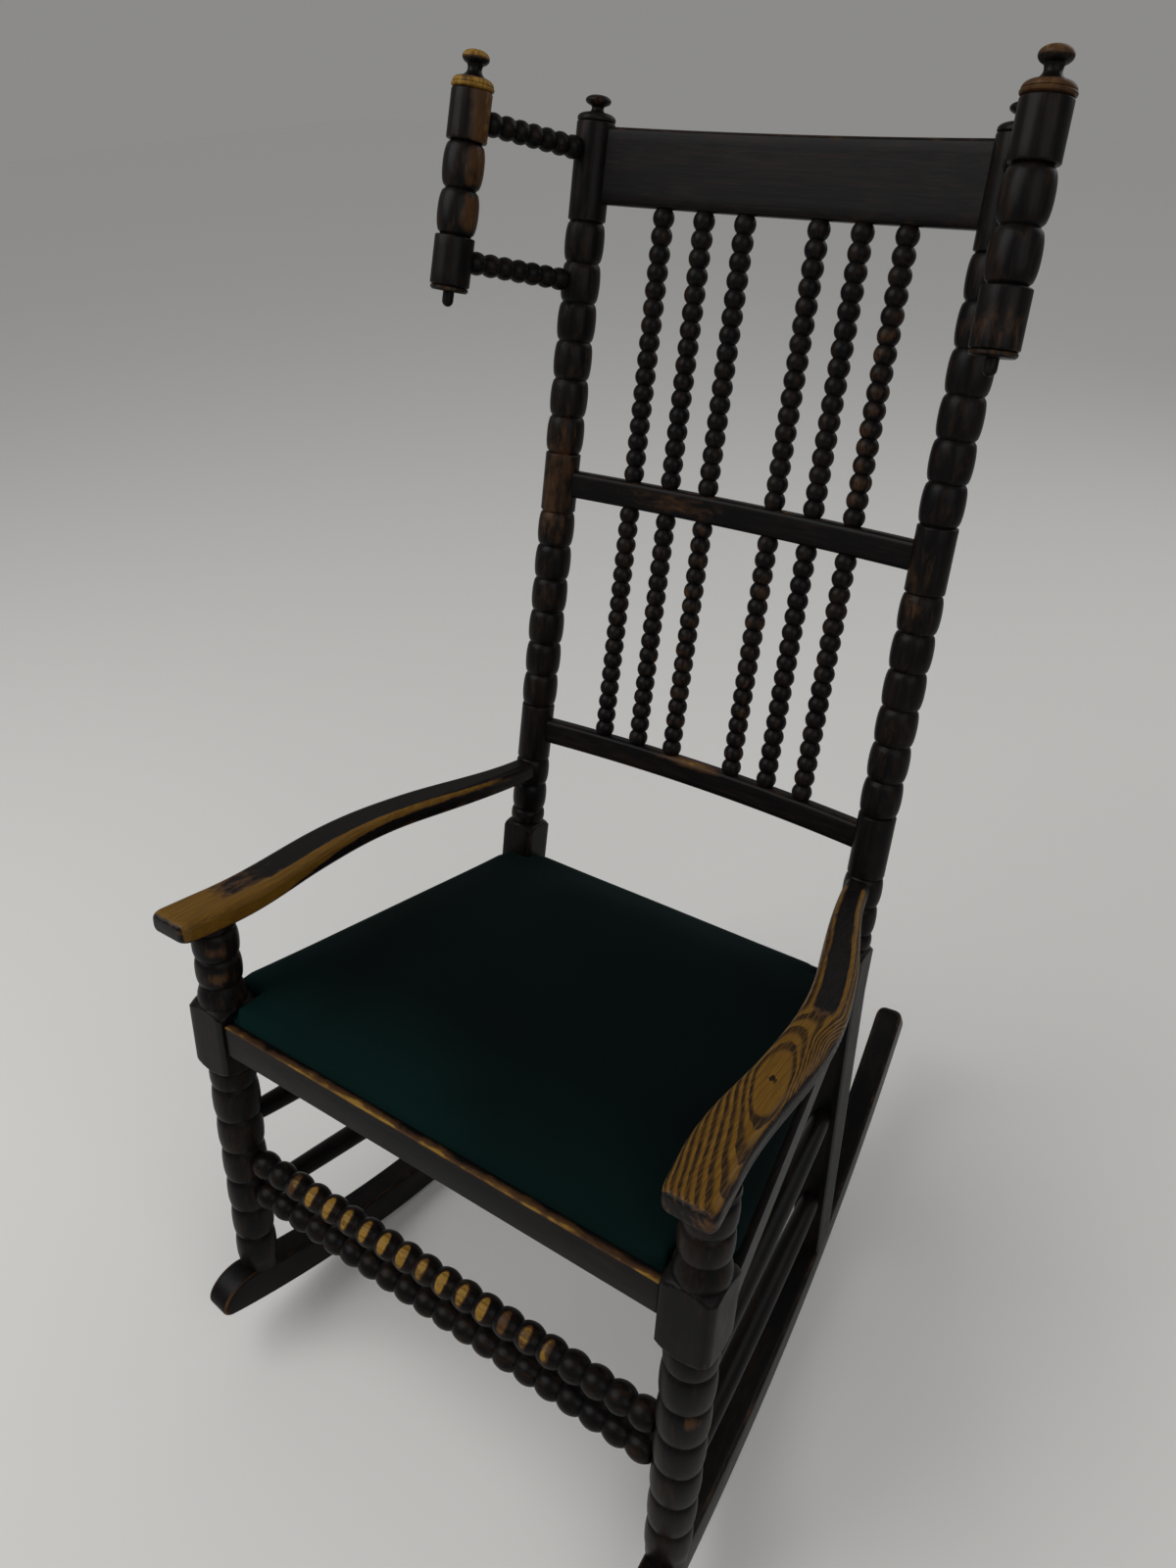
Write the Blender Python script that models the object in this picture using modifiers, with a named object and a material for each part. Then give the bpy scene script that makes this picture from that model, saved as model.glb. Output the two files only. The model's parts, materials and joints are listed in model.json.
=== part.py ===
"""Bobbin rocking chair: turned frame on two rockers, bowed spindle back with ears, and a drop-in seat.

Metres, +Z up. The chair faces -Y and stands on Z = 0 at its point of balance.
The frame is laid out square, in a frame of its own that leans back on the rockers.
"""

import math

import bmesh
import bpy
from mathutils import Matrix, Vector

# Fits
fit = 0.0003  # clearance left between pieces that meet
socket_margin = 0.004  # how far a cutter starts outside the surface it enters

# Stance
frame_lean = math.radians(6.8)  # the whole frame leans back at rest
balance_y = 0.0002  # where the rockers touch the floor, under the chair's centre of mass

# Front legs, in the leaning frame
front_leg_x = 0.2505
front_leg_y = -0.2965
leg_radius = 0.0224  # of the first bobbin below the block
leg_foot_radius = 0.0202  # of the last bobbin
leg_arm_radius = 0.0208  # of the short bobbins under the arm
leg_groove_depth = 0.0030
leg_block = 0.045  # square block that takes the seat rails
leg_block_low = 0.333
leg_block_high = 0.4077
block_chamfer = 0.008
block_ease = 0.0035  # off the block's upright edges
leg_bobbin_pitch = 0.0405
leg_bobbin_count = 6
leg_neck = 0.024  # plain ring between the block and the bobbins
upper_bobbin_pitch = 0.0285  # the two short bobbins between block and arm
upper_bobbin_count = 2
upper_cone = 0.0205
arm_collar = 0.0098  # plain ring under the arm
foot_tenon_radius = 0.010
foot_tenon_length = 0.024
arm_tenon_radius = 0.009
arm_tenon_length = 0.011

# Back posts. The knee is where the upright part meets the square leg.
post_x = 0.1945
knee_y = 0.085
knee_z = 0.400
rear_foot_x = 0.2105
rear_foot_y = 0.078
rear_leg_side = 0.037  # square section of the lower leg
rear_foot_side = 0.032
back_rake = math.radians(6.35)  # of the back against the leaning frame
post_lean_in = math.radians(0.56)  # the posts come together upwards
post_radius = 0.0182
post_groove_radius = 0.0152
post_block_radius = 0.0172
knee_height = 0.040  # square part above the knee
knee_ring = 0.016
arm_bobbin = 0.0302  # two bobbins below the lowest cylindrical block
lower_block = 0.062
post_bobbin_pitch = 0.0342
post_bobbin_count = 6
middle_block = 0.0575
top_block = 0.0805

# Bowed back rails and their spindles, heights measured up the back from the knee
back_bow = 0.016
rail_thickness = 0.016
top_rail_height = 0.062
slim_rail_height = 0.0255
lower_rail_lift = 0.0035  # above the middle of the posts' lowest block
rail_tenon_thickness = 0.007
rail_tenon_length = 0.014
rail_tenon_inset = 0.005  # the tenon is shallower than its rail by this at top and bottom
rail_segments = 8
spindle_first = 0.0344
spindle_spacing = 0.0394
spindles_per_side = 3
spindle_radius = 0.0090
spindle_groove_radius = 0.0064
spindle_beads = 16
spindle_tenon_radius = 0.0042
spindle_tenon_length = 0.009

# Ears, placed in the frame of the back
ear_x = 0.239
ear_forward = 0.1277
ear_height = 0.5805
ear_rake = math.radians(4.0)
ear_lean_in = math.radians(1.9)
ear_radius = 0.0173
ear_groove_radius = 0.0135
ear_block_radius = 0.0173
ear_low_block = 0.0404
ear_bobbin_pitch = 0.0359
ear_bobbin_count = 2
ear_high_block = 0.0385
ear_spindle_radius = 0.0097
ear_spindle_groove_radius = 0.0074
ear_spindle_beads = 7
ear_spindle_low = 0.0215  # up the ear, to the lower spindle
ear_spindle_high = 0.1300
ear_spindle_top_drop = 0.0240  # down from the top of the post, to the upper spindle

# Finials and drops
cap_height = 0.0090
post_cap_share = 0.78  # the back posts' finials are this much lower than the ears'
cap_radius = 0.0165
ear_cap_radius = 0.0182
neck_radius = 0.0054
neck_height = 0.0045
knob_radius = 0.0114
knob_height = 0.0118
ear_neck_height = 0.0085
drop_height = 0.0042
pin_radius = 0.0049
pin_length = 0.0125
dowel_radius = 0.0060
dowel_length = 0.0068

# Arms
arm_level = leg_block_high + upper_cone + upper_bobbin_count * upper_bobbin_pitch + arm_collar  # underside
arm_thickness = 0.021
arm_overhang = 0.044  # beyond the front leg's axis
arm_bow = 0.0225
arm_front_in = 0.003  # its front stands this far inside the leg's axis
arm_tip_width = 0.043
arm_leg_width = 0.0445
arm_belly_width = 0.0405
arm_waist_width = 0.035
arm_post_width = 0.0235
arm_belly_at = 0.30  # shares of the way from leg to post
arm_waist_at = 0.64
arm_edge = 0.006
arm_nose_share = 0.72  # of the arm's section, left on the rounded front face
arm_brow_share = 0.97  # and where that rounding starts
arm_stations = 16
arm_end_tenon_radius = 0.0065
arm_end_tenon_length = 0.014

# Seat rails
seat_rail_top = 0.3965
seat_rail_height = 0.0325
seat_rail_thickness = 0.024
front_rail_setback = 0.003
side_rail_setback = 0.003
rebate_depth = 0.014
front_strip = 0.009  # rail top left standing outside the rebate
side_strip = 0.008
rear_strip = 0.012
rear_rail_back = 0.0930  # rear face of the rear rail
seat_tenon_thickness = 0.008
seat_tenon_length = 0.014
seat_tenon_inset = 0.004

# Stretchers
front_stretcher_high = 0.2155
front_stretcher_low = 0.1740
front_stretcher_radius = 0.0130
front_stretcher_groove_radius = 0.0090
front_stretcher_beads = 20
side_stretcher_radius = 0.0118
side_stretcher_end_radius = 0.0095
upper_side_front = 0.256
upper_side_rear = 0.240
lower_side_front = 0.147
lower_side_rear = 0.128
back_stretcher_level = 0.190
stretcher_tenon_radius = 0.0060
stretcher_tenon_length = 0.012

# Rockers
rocker_front_radius = 0.91  # flatter in front of the point of balance than behind it
rocker_rear_radius = 0.68
rocker_height = 0.0425
rocker_thickness = 0.030
rocker_front = 0.3490  # reach from the point of balance, along the rocker
rocker_rear = 0.383
rocker_facet = math.radians(2.2)
rear_corner = 0.010
nose_slope = 0.45  # how far the nose slants down and forward, as a share of half its height

# Drop-in seat
seat_gap = 0.0015  # between the seat and the rebate round it
seat_board_thickness = 0.0135
seat_board_width = 0.040
webbing_thickness = 0.0014
webbing_cells = 9  # strips and gaps across the webbing, an odd number
webbing_land = 0.020  # how far the webbing stays inside the seat's edge
bottom_cloth_thickness = 0.0010
bottom_cloth_inset = 0.026
pad_edge_height = 0.012
pad_crown = 0.026
pad_side_steps = 10
pad_edge = ((0.985, 0.0), (0.997, 0.30), (1.0, 0.55), (0.990, 0.85), (0.965, 1.0))  # share of plan, of edge
pad_crown_rings = (0.88, 0.74, 0.56, 0.36, 0.15)  # shares of the plan

# Facets round the turned pieces
post_sides = 10
spindle_sides = 6
stretcher_sides = 8
socket_sides = 8

ebonised = (0.022, 0.016, 0.013)
worn_gold = (0.30, 0.17, 0.06)
velvet_green = (0.006, 0.030, 0.026)
webbing_tan = (0.30, 0.22, 0.13)
cloth_black = (0.02, 0.02, 0.02)
pine = (0.42, 0.29, 0.16)


def clear_scene():
    for obj in list(bpy.data.objects):
        bpy.data.objects.remove(obj, do_unlink=True)


clear_scene()
parts = bpy.data.collections.new("bobbin_rocking_chair")
cutters = bpy.data.collections.new("chair_cutters")
bpy.context.scene.collection.children.link(parts)
bpy.context.scene.collection.children.link(cutters)


def make_material(name, colour, roughness):
    material = bpy.data.materials.new(name)
    material.use_nodes = True
    shader = material.node_tree.nodes["Principled BSDF"]
    shader.inputs["Base Color"].default_value = (*colour, 1.0)
    shader.inputs["Roughness"].default_value = roughness
    shader.inputs["Metallic"].default_value = 0.0
    material.diffuse_color = (*colour, 1.0)
    return material


stained = make_material("ebonised_wood", ebonised, 0.38)
worn = make_material("worn_wood", worn_gold, 0.42)
velvet = make_material("green_velvet", velvet_green, 0.85)
jute = make_material("jute_webbing", webbing_tan, 0.9)
dust_cloth = make_material("black_cloth", cloth_black, 0.9)
plain_pine = make_material("pine_board", pine, 0.6)


def add_empty(name, parent=None, location=(0, 0, 0), rotation=(0, 0, 0)):
    empty = bpy.data.objects.new(name, None)
    empty.empty_display_size = 0.05
    empty.parent = parent
    empty.location = location
    empty.rotation_euler = rotation
    parts.objects.link(empty)
    return empty


chair = add_empty("chair")
leaning = add_empty("leaning_frame", chair, rotation=(-frame_lean, 0, 0))
back = add_empty("back_frame", leaning, (0, knee_y, knee_z), (-back_rake, 0, 0))


def add_piece(name, mesh, parent, material, matrix=None):
    obj = bpy.data.objects.new(name, mesh)
    obj.parent = parent
    if matrix is not None:
        obj.matrix_local = matrix
    if material is None:
        cutters.objects.link(obj)
        obj.hide_render = True
        obj.display_type = "WIRE"
    else:
        mesh.materials.append(material)
        parts.objects.link(obj)
    return obj


def along(start, axis):
    """The matrix that stands a turned piece on start, with its own Z along axis."""
    turn = Vector(axis).to_track_quat("Z", "Y")
    return Matrix.Translation(Vector(start)) @ turn.to_matrix().to_4x4()


def turned(name, profile, parent, material, matrix, sides):
    """A closed turning. The profile lists (radius, height) from the top down, both ends on the axis."""
    mesh = bpy.data.meshes.new(name)
    points = [(radius, 0.0, height) for radius, height in profile]
    mesh.from_pydata(points, [(i, i + 1) for i in range(len(points) - 1)], [])
    obj = add_piece(name, mesh, parent, material, matrix)
    screw = obj.modifiers.new("turning", "SCREW")
    screw.axis = "Z"
    screw.angle = math.tau
    screw.steps = sides
    screw.render_steps = sides
    screw.use_merge_vertices = True
    screw.merge_threshold = 0.00005
    screw.use_smooth_shade = True
    return obj


def loft(name, rings, parent, material, matrix=None):
    """A closed skin over rings of points, each ring with the same count, capped at both ends."""
    shape = bmesh.new()
    rows = [[shape.verts.new(point) for point in ring] for ring in rings]
    count = len(rows[0])
    for low, high in zip(rows, rows[1:]):
        for i in range(count):
            j = (i + 1) % count
            shape.faces.new((low[i], low[j], high[j], high[i]))
    shape.faces.new(rows[0])
    shape.faces.new(rows[-1])
    bmesh.ops.recalc_face_normals(shape, faces=shape.faces)
    mesh = bpy.data.meshes.new(name)
    shape.to_mesh(mesh)
    shape.free()
    return add_piece(name, mesh, parent, material, matrix)


def prism(name, outline, low, high, parent, material, matrix=None):
    """A flat outline in X and Y, given thickness from low to high along Z."""
    rings = [[(x, y, level) for x, y in outline] for level in (low, high)]
    return loft(name, rings, parent, material, matrix)


def boolean(target, operation, tools, label):
    """Joins or cuts the target with hidden helper pieces, gathered in a collection of their own."""
    group = bpy.data.collections.new(f"{target.name}_{label}")
    cutters.children.link(group)
    for tool in tools:
        cutters.objects.unlink(tool)
        group.objects.link(tool)
    modifier = target.modifiers.new(label, "BOOLEAN")
    modifier.operation = operation
    modifier.solver = "EXACT"
    modifier.operand_type = "COLLECTION"
    modifier.collection = group


sockets = {}  # cutters that wait for the piece they enter


def peg(radius, length):
    return [(0.0, length), (radius, length), (radius, 0.0), (0.0, 0.0)]


def add_socket(target, parent, start, axis, radius, length, sides):
    """A hole for a round tenon that leaves its shoulder at start, along axis, with clearance all round."""
    direction = Vector(axis).normalized()
    mouth = Vector(start) - direction * socket_margin
    name = f"{target}_socket_{len(sockets.get(target, [])) + 1}"
    profile = peg(radius + fit, length + socket_margin + fit)
    tool = turned(name, profile, parent, None, along(mouth, direction), sides)
    sockets.setdefault(target, []).append(tool)


def add_mortise(target, rings, parent):
    name = f"{target}_mortise_{len(sockets.get(target, [])) + 1}"
    sockets.setdefault(target, []).append(loft(name, rings, parent, None))


def cut_sockets(obj):
    boolean(obj, "DIFFERENCE", sockets[obj.name], "sockets")


def bobbins(top, pitch, count, radius, groove, taper=0.0):
    """Profile of a row of barrels from top down, without the last groove, slimmer by taper at the last."""
    points = []
    for i in range(count):
        start = top - i * pitch
        less = taper * i / max(count - 1, 1)
        shoulder = groove + 0.82 * (radius - groove) - less
        points.append((groove - less, start))
        points.append((shoulder, start - 0.2 * pitch))
        points.append((radius - less, start - 0.5 * pitch))
        points.append((shoulder, start - 0.8 * pitch))
    return points


def beads(top, pitch, count, radius, groove):
    """Profile of a string of round beads, from top down, without the last groove."""
    points = []
    for i in range(count):
        start = top - i * pitch
        points.append((groove, start))
        points.append((radius, start - 0.5 * pitch))
    return points


def plain_block(top, length, radius):
    """Profile of a cylindrical block with its edges just eased."""
    ease = 0.06 * radius
    low = top - length
    return [(radius - ease, top), (radius, top - ease), (radius, low + ease), (radius - ease, low)]


def rectangle(x_half, y_half):
    return [(-x_half, -y_half), (x_half, -y_half), (x_half, y_half), (-x_half, y_half)]


def eased_square(half, ease):
    """A square with its corners cut off by ease."""
    corner = half - ease
    return [
        (-corner, -half),
        (corner, -half),
        (half, -corner),
        (half, corner),
        (corner, half),
        (-corner, half),
        (-half, corner),
        (-half, -corner),
    ]


def ring_at(outline, level, centre=(0.0, 0.0)):
    return [(centre[0] + x, centre[1] + y, level) for x, y in outline]


sides_of_chair = (("left", -1), ("right", 1))

# Rockers. Each lies in an upright plane of its own, under its front and rear legs.


def leaning_to_chair(point):
    return Matrix.Rotation(-frame_lean, 3, "X") @ Vector(point)


def radius_towards(direction):
    """The rockers' bottom radius in front of the point of balance, or behind it."""
    return rocker_front_radius if direction < 0 else rocker_rear_radius


def rocker_top_under(x, y):
    """Height in the leaning frame where an upright line through (x, y) there meets the rockers' top."""
    level = 0.0
    for _ in range(12):
        spot = leaning_to_chair((x, y, level))
        reach = (spot.y - balance_y) / math.cos(toe_in_guess)
        radius = radius_towards(reach)
        top = radius - math.sqrt((radius - rocker_height) ** 2 - reach**2)
        level += (top - spot.z) / math.cos(frame_lean)
    return level


toe_in_guess = math.atan2(front_leg_x - rear_foot_x, rear_foot_y - front_leg_y)
front_foot_level = rocker_top_under(front_leg_x, front_leg_y)
rear_foot_level = rocker_top_under(rear_foot_x, rear_foot_y)
front_foot = leaning_to_chair((front_leg_x, front_leg_y, front_foot_level))
rear_foot = leaning_to_chair((rear_foot_x, rear_foot_y, rear_foot_level))
toe_in = math.atan2(front_foot.x - rear_foot.x, rear_foot.y - front_foot.y)
balance_x = front_foot.x - (balance_y - front_foot.y) * math.tan(toe_in)


def on_rocker(rise, angle, outside=1.0):
    """A point at a height above the rocker's bottom, measured square to it, as (reach, height)."""
    radius = radius_towards(angle)
    ray = (radius - rise) * outside
    return (ray * math.sin(angle), radius - ray * math.cos(angle))


def rocker_arc(rise, start, end):
    """Points along the rocker on angles that leave one facet level at the bottom."""
    first = math.ceil(start / rocker_facet - 0.5)
    last = math.floor(end / rocker_facet - 0.5)
    angles = [(k + 0.5) * rocker_facet for k in range(first, last + 1)]
    return [on_rocker(rise, angle, 1 / math.cos(rocker_facet / 2)) for angle in angles]


def rocker_outline(raised=0.0):
    """Side view of a rocker as (reach, height): level underneath at zero, nose in front, squared behind."""
    front_angle = -math.asin((rocker_front - rocker_height / 2) / rocker_front_radius)
    rear_angle = math.asin(rocker_rear / rocker_rear_radius)
    top_rise = rocker_height + raised
    bottom = rocker_arc(0.0, front_angle, rear_angle - rocker_facet)
    half = top_rise / 2
    top_front = front_angle + nose_slope * half / rocker_front_radius
    top = rocker_arc(top_rise, top_front, rear_angle - rocker_facet)
    corner_angle = rear_corner / rocker_rear_radius
    rear = [
        on_rocker(0.0, rear_angle - corner_angle / 2),
        on_rocker(rear_corner / 2, rear_angle),
        on_rocker(top_rise - rear_corner, rear_angle),
        on_rocker(top_rise, rear_angle - corner_angle),
    ]
    middle = Vector(on_rocker(half, front_angle))
    along_nose = Vector((-math.cos(front_angle), -math.sin(front_angle)))
    up_nose = Vector((-math.sin(front_angle), math.cos(front_angle)))
    nose = []
    for step in range(7):
        turn = math.radians(90 - 30 * step)
        forward = math.cos(turn) - nose_slope * math.sin(turn)
        nose.append(tuple(middle + half * (math.sin(turn) * up_nose + forward * along_nose)))
    return bottom + rear + top[::-1] + nose


def rocker_matrix(side):
    return Matrix.Translation((side * balance_x, balance_y, 0.0)) @ Matrix.Rotation(side * toe_in, 4, "Z")


def rocker_rings(outline, half_width):
    return [[(x, reach, height) for reach, height in outline] for x in (-half_width, half_width)]


def build_rocker(label, side):
    name = f"rocker_{label}"
    rings = rocker_rings(rocker_outline(), rocker_thickness / 2)
    obj = loft(name, rings, chair, stained, rocker_matrix(side))
    cut_sockets(obj)


def cope_tool(name, side):
    """The rocker's upper side with clearance, wide enough to trim a leg's foot to it."""
    rings = rocker_rings(rocker_outline(raised=fit), 2 * rocker_thickness)
    return loft(name, rings, chair, None, rocker_matrix(side))


# Arms run in the leaning frame, from beyond the front leg back to the post.


def post_point(side, height, out=0.0):
    """A point on a post's axis in the frame of the back, or moved out from it."""
    return Vector((side * (post_x - height * math.tan(post_lean_in) + out), 0.0, height))


def back_to_leaning(point):
    return Vector((0, knee_y, knee_z)) + Matrix.Rotation(-back_rake, 3, "X") @ Vector(point)


arm_centre_level = arm_level + arm_thickness / 2
arm_post_height = (arm_centre_level - knee_z) / math.cos(back_rake)
arm_rear = back_to_leaning(post_point(1, arm_post_height))
arm_rear_y = arm_rear.y - post_radius / math.cos(back_rake) - arm_thickness / 2 * math.tan(back_rake) - fit


def smooth_between(value, marks):
    """Eases from mark to mark, each a (place, size) pair."""
    for (low, low_size), (high, high_size) in zip(marks, marks[1:]):
        if value <= high:
            share = max(0.0, (value - low) / (high - low))
            return low_size + (high_size - low_size) * share * share * (3 - 2 * share)
    return marks[-1][1]


def arm_ring(side, share, shrink=1.0):
    y = front_leg_y + (arm_rear_y - front_leg_y) * share
    bow = arm_bow * math.sin(math.pi * min(max(share, 0.0), 1.0)) ** 2
    inward = smooth_between(share, [(0.0, arm_front_in), (arm_belly_at, 0.0)])
    x = front_leg_x + (arm_rear.x - front_leg_x) * share + bow - inward
    tip = -arm_overhang / (arm_rear_y - front_leg_y)
    marks = [
        (tip, arm_tip_width),
        (0.0, arm_leg_width),
        (arm_belly_at, arm_belly_width),
        (arm_waist_at, arm_waist_width),
        (1.0, arm_post_width),
    ]
    half = smooth_between(share, marks) / 2 * shrink
    rise = arm_thickness / 2 * shrink
    edge = arm_edge * shrink
    section = [
        (-half + edge, -rise),
        (half - edge, -rise),
        (half, -rise + edge),
        (half, rise - edge),
        (half - edge, rise),
        (-half + edge, rise),
        (-half, rise - edge),
        (-half, -rise + edge),
    ]
    return [(side * (x + across), y, arm_centre_level + up) for across, up in section]


def round_ring(centre, radius):
    """Eight points round a tenon that runs along Y."""
    turns = [math.radians(-112.5 + 45 * i) for i in range(8)]
    return [(centre.x + radius * math.cos(a), centre.y, centre.z + radius * math.sin(a)) for a in turns]


def build_arm(label, side):
    name = f"arm_{label}"
    run = arm_rear_y - front_leg_y
    tip = -arm_overhang / run
    easing = arm_edge / run
    rings = [arm_ring(side, tip, arm_nose_share), arm_ring(side, tip + easing, arm_brow_share)]
    for i in range(1, arm_stations):
        rings.append(arm_ring(side, tip + easing + (1 - tip - easing) * i / arm_stations))
    rings.append(arm_ring(side, 1.0))
    shoulder = Vector((side * arm_rear.x, arm_rear_y, arm_centre_level))
    tenon_end = shoulder + Vector((0, arm_end_tenon_length, 0))

    def mirrored(ring):
        return ring if side > 0 else [(2 * shoulder.x - x, y, z) for x, y, z in ring]

    rings.append(mirrored(round_ring(shoulder, arm_end_tenon_radius)))
    rings.append(mirrored(round_ring(tenon_end, arm_end_tenon_radius)))
    obj = loft(name, rings, leaning, stained)
    mouth = shoulder - Vector((0, socket_margin, 0))
    hole_end = tenon_end + Vector((0, fit, 0))
    hole = arm_end_tenon_radius + fit / math.cos(math.pi / 8)
    add_mortise(f"back_post_{label}", [round_ring(mouth, hole), round_ring(hole_end, hole)], leaning)
    add_socket(
        name,
        leaning,
        (side * front_leg_x, front_leg_y, arm_level),
        (0, 0, 1),
        arm_tenon_radius,
        arm_tenon_length,
        post_sides,
    )
    cut_sockets(obj)


# Front legs


def leg_groove(number):
    """Level of a groove below the block; groove 0 is the top of the first bobbin."""
    return leg_block_low - leg_neck - number * leg_bobbin_pitch


def build_front_leg(label, side):
    name = f"front_leg_{label}"
    top = arm_level - fit
    collar = arm_collar - fit
    profile = [
        (0.0, top + arm_tenon_length),
        (arm_tenon_radius, top + arm_tenon_length),
        (arm_tenon_radius, top),
        (leg_arm_radius - 0.001, top),
        (leg_arm_radius - 0.0005, top - collar / 2),
    ]
    arm_groove = leg_arm_radius - leg_groove_depth
    profile += bobbins(top - collar, upper_bobbin_pitch, upper_bobbin_count, leg_arm_radius, arm_groove)
    cone_top = leg_block_high + upper_cone
    profile += [(arm_groove, cone_top), (leg_arm_radius + 0.0005, cone_top - 0.3 * upper_cone)]
    profile += [(leg_block / 2 - 0.001, leg_block_high - block_chamfer / 2)]
    profile += [(leg_block / 2 - 0.004, (leg_block_low + leg_block_high) / 2)]
    profile += [(leg_radius - 0.001, leg_block_low)]
    neck_top = leg_groove(0) + 0.8 * leg_neck
    profile += [(leg_radius - 0.002, neck_top), (leg_radius - 0.0015, leg_groove(0) + 0.2 * leg_neck)]
    taper = leg_radius - leg_foot_radius
    leg_groove_radius = leg_radius - leg_groove_depth
    first = leg_groove(0)
    profile += bobbins(first, leg_bobbin_pitch, leg_bobbin_count, leg_radius, leg_groove_radius, taper)
    last = leg_groove(leg_bobbin_count)
    low = front_foot_level - 0.5 * rocker_height
    profile += [(leg_groove_radius - taper, last), (leg_groove_radius - taper + 0.001, low), (0.0, low)]
    upright = along((side * front_leg_x, front_leg_y, 0), (0, 0, 1))
    obj = turned(name, profile, leaning, stained, upright, post_sides)

    full = eased_square(leg_block / 2, block_ease)
    chamfered = eased_square(leg_block / 2 - block_chamfer, block_ease)
    axis = (side * front_leg_x, front_leg_y)
    block_rings = [
        ring_at(chamfered, leg_block_low, axis),
        ring_at(full, leg_block_low + block_chamfer, axis),
        ring_at(full, leg_block_high - block_chamfer, axis),
        ring_at(chamfered, leg_block_high, axis),
    ]
    block = loft(f"{name}_block", block_rings, leaning, None)
    boolean(obj, "DIFFERENCE", [cope_tool(f"{name}_cope", side)], "foot")
    tenon = foot_tenon(name, (side * front_leg_x, front_leg_y), front_foot_level)
    boolean(obj, "UNION", [block, tenon], "square_block_and_tenon")
    add_foot_socket(f"rocker_{label}", (side * front_leg_x, front_leg_y), front_foot_level)
    cut_sockets(obj)


def foot_tenon(name, axis, level):
    """The tenon under a leg, let up into the leg so that it joins it well above the rocker."""
    start = (axis[0], axis[1], level - foot_tenon_length)
    profile = peg(foot_tenon_radius, foot_tenon_length + rocker_height / 2)
    return turned(f"{name}_tenon", profile, leaning, None, along(start, (0, 0, 1)), socket_sides)


def add_foot_socket(target, axis, level):
    start = (axis[0], axis[1], level - foot_tenon_length - fit)
    profile = peg(foot_tenon_radius + fit, foot_tenon_length + rocker_height / 2)
    name = f"{target}_socket_{len(sockets.get(target, [])) + 1}"
    tool = turned(name, profile, leaning, None, along(start, (0, 0, 1)), socket_sides)
    sockets.setdefault(target, []).append(tool)


# Back posts

lower_block_low = knee_height + knee_ring + 2 * arm_bobbin
lower_block_high = lower_block_low + lower_block
middle_block_low = lower_block_high + post_bobbin_count * post_bobbin_pitch
middle_block_high = middle_block_low + middle_block
top_block_low = middle_block_high + post_bobbin_count * post_bobbin_pitch
post_top = top_block_low + top_block
lower_rail_height = (lower_block_low + lower_block_high) / 2 + lower_rail_lift
middle_rail_height = (middle_block_low + middle_block_high) / 2
top_rail_low = top_block_low + 0.19 * top_block
top_rail_height_mid = top_rail_low + top_rail_height / 2


def post_bobbins(top):
    return bobbins(top, post_bobbin_pitch, post_bobbin_count, post_radius, post_groove_radius)


def build_back_post(label, side):
    name = f"back_post_{label}"
    profile = [(0.0, post_top)]
    profile += plain_block(post_top, top_block, post_block_radius)
    profile += post_bobbins(top_block_low)
    profile += [(post_groove_radius, middle_block_high)]
    profile += plain_block(middle_block_high - 0.001, middle_block - 0.002, post_block_radius)
    profile += post_bobbins(middle_block_low)
    profile += [(post_groove_radius, lower_block_high)]
    profile += plain_block(lower_block_high - 0.001, lower_block - 0.002, post_block_radius)
    profile += bobbins(lower_block_low, arm_bobbin, 2, post_radius, post_groove_radius)
    ring_top = knee_height + knee_ring
    profile += [(post_groove_radius, ring_top), (post_radius, ring_top - 0.4 * knee_ring)]
    inside_leg = knee_height / 3
    profile += [(post_groove_radius, knee_height), (post_groove_radius, inside_leg), (0.0, inside_leg)]
    axis = (-side * math.sin(post_lean_in), 0, math.cos(post_lean_in))
    obj = turned(name, profile, back, stained, along((side * post_x, 0, 0), axis), post_sides)

    square = rear_leg_side / 2
    shoulder = square - block_chamfer
    foot = rear_foot_side / 2
    top = back_to_leaning((side * post_x, 0, knee_height))
    edge = back_to_leaning((side * post_x, 0, knee_height - block_chamfer))
    below = rear_foot_level - 0.5 * rocker_height
    leg_rings = [
        ring_at(rectangle(foot, foot), below, (side * rear_foot_x, rear_foot_y)),
        ring_at(rectangle(square, square), knee_z - 0.5 * leg_block, (side * post_x, knee_y)),
        ring_at(rectangle(square, square), edge.z, (edge.x, edge.y)),
        ring_at(rectangle(shoulder, shoulder), top.z, (top.x, top.y)),
    ]
    leg = loft(f"{name}_leg", leg_rings, leaning, None)
    boolean(obj, "UNION", [leg], "square_leg")
    boolean(obj, "DIFFERENCE", [cope_tool(f"{name}_cope", side)], "foot")
    tenon = foot_tenon(name, (side * rear_foot_x, rear_foot_y), rear_foot_level)
    boolean(obj, "UNION", [tenon], "tenon")
    add_foot_socket(f"rocker_{label}", (side * rear_foot_x, rear_foot_y), rear_foot_level)
    cut_sockets(obj)


def knob_profile(stem, cap, share):
    """A button on a neck on a domed cap, with a dowel below its seat at zero, from the top down."""
    dome = cap_height * share
    button = knob_height * share
    knob_low = dome + stem
    knob_top = knob_low + button
    return [
        (0.0, knob_top),
        (0.6 * knob_radius, knob_top - 0.12 * button),
        (knob_radius, knob_top - 0.45 * button),
        (0.8 * knob_radius, knob_low + 0.15 * button),
        (neck_radius, knob_low),
        (neck_radius, dome),
        (0.62 * cap, 0.65 * dome),
        (cap, 0.35 * dome),
        (cap, 0.0),
        (dowel_radius, 0.0),
        (dowel_radius, -dowel_length),
        (0.0, -dowel_length),
    ]


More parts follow.
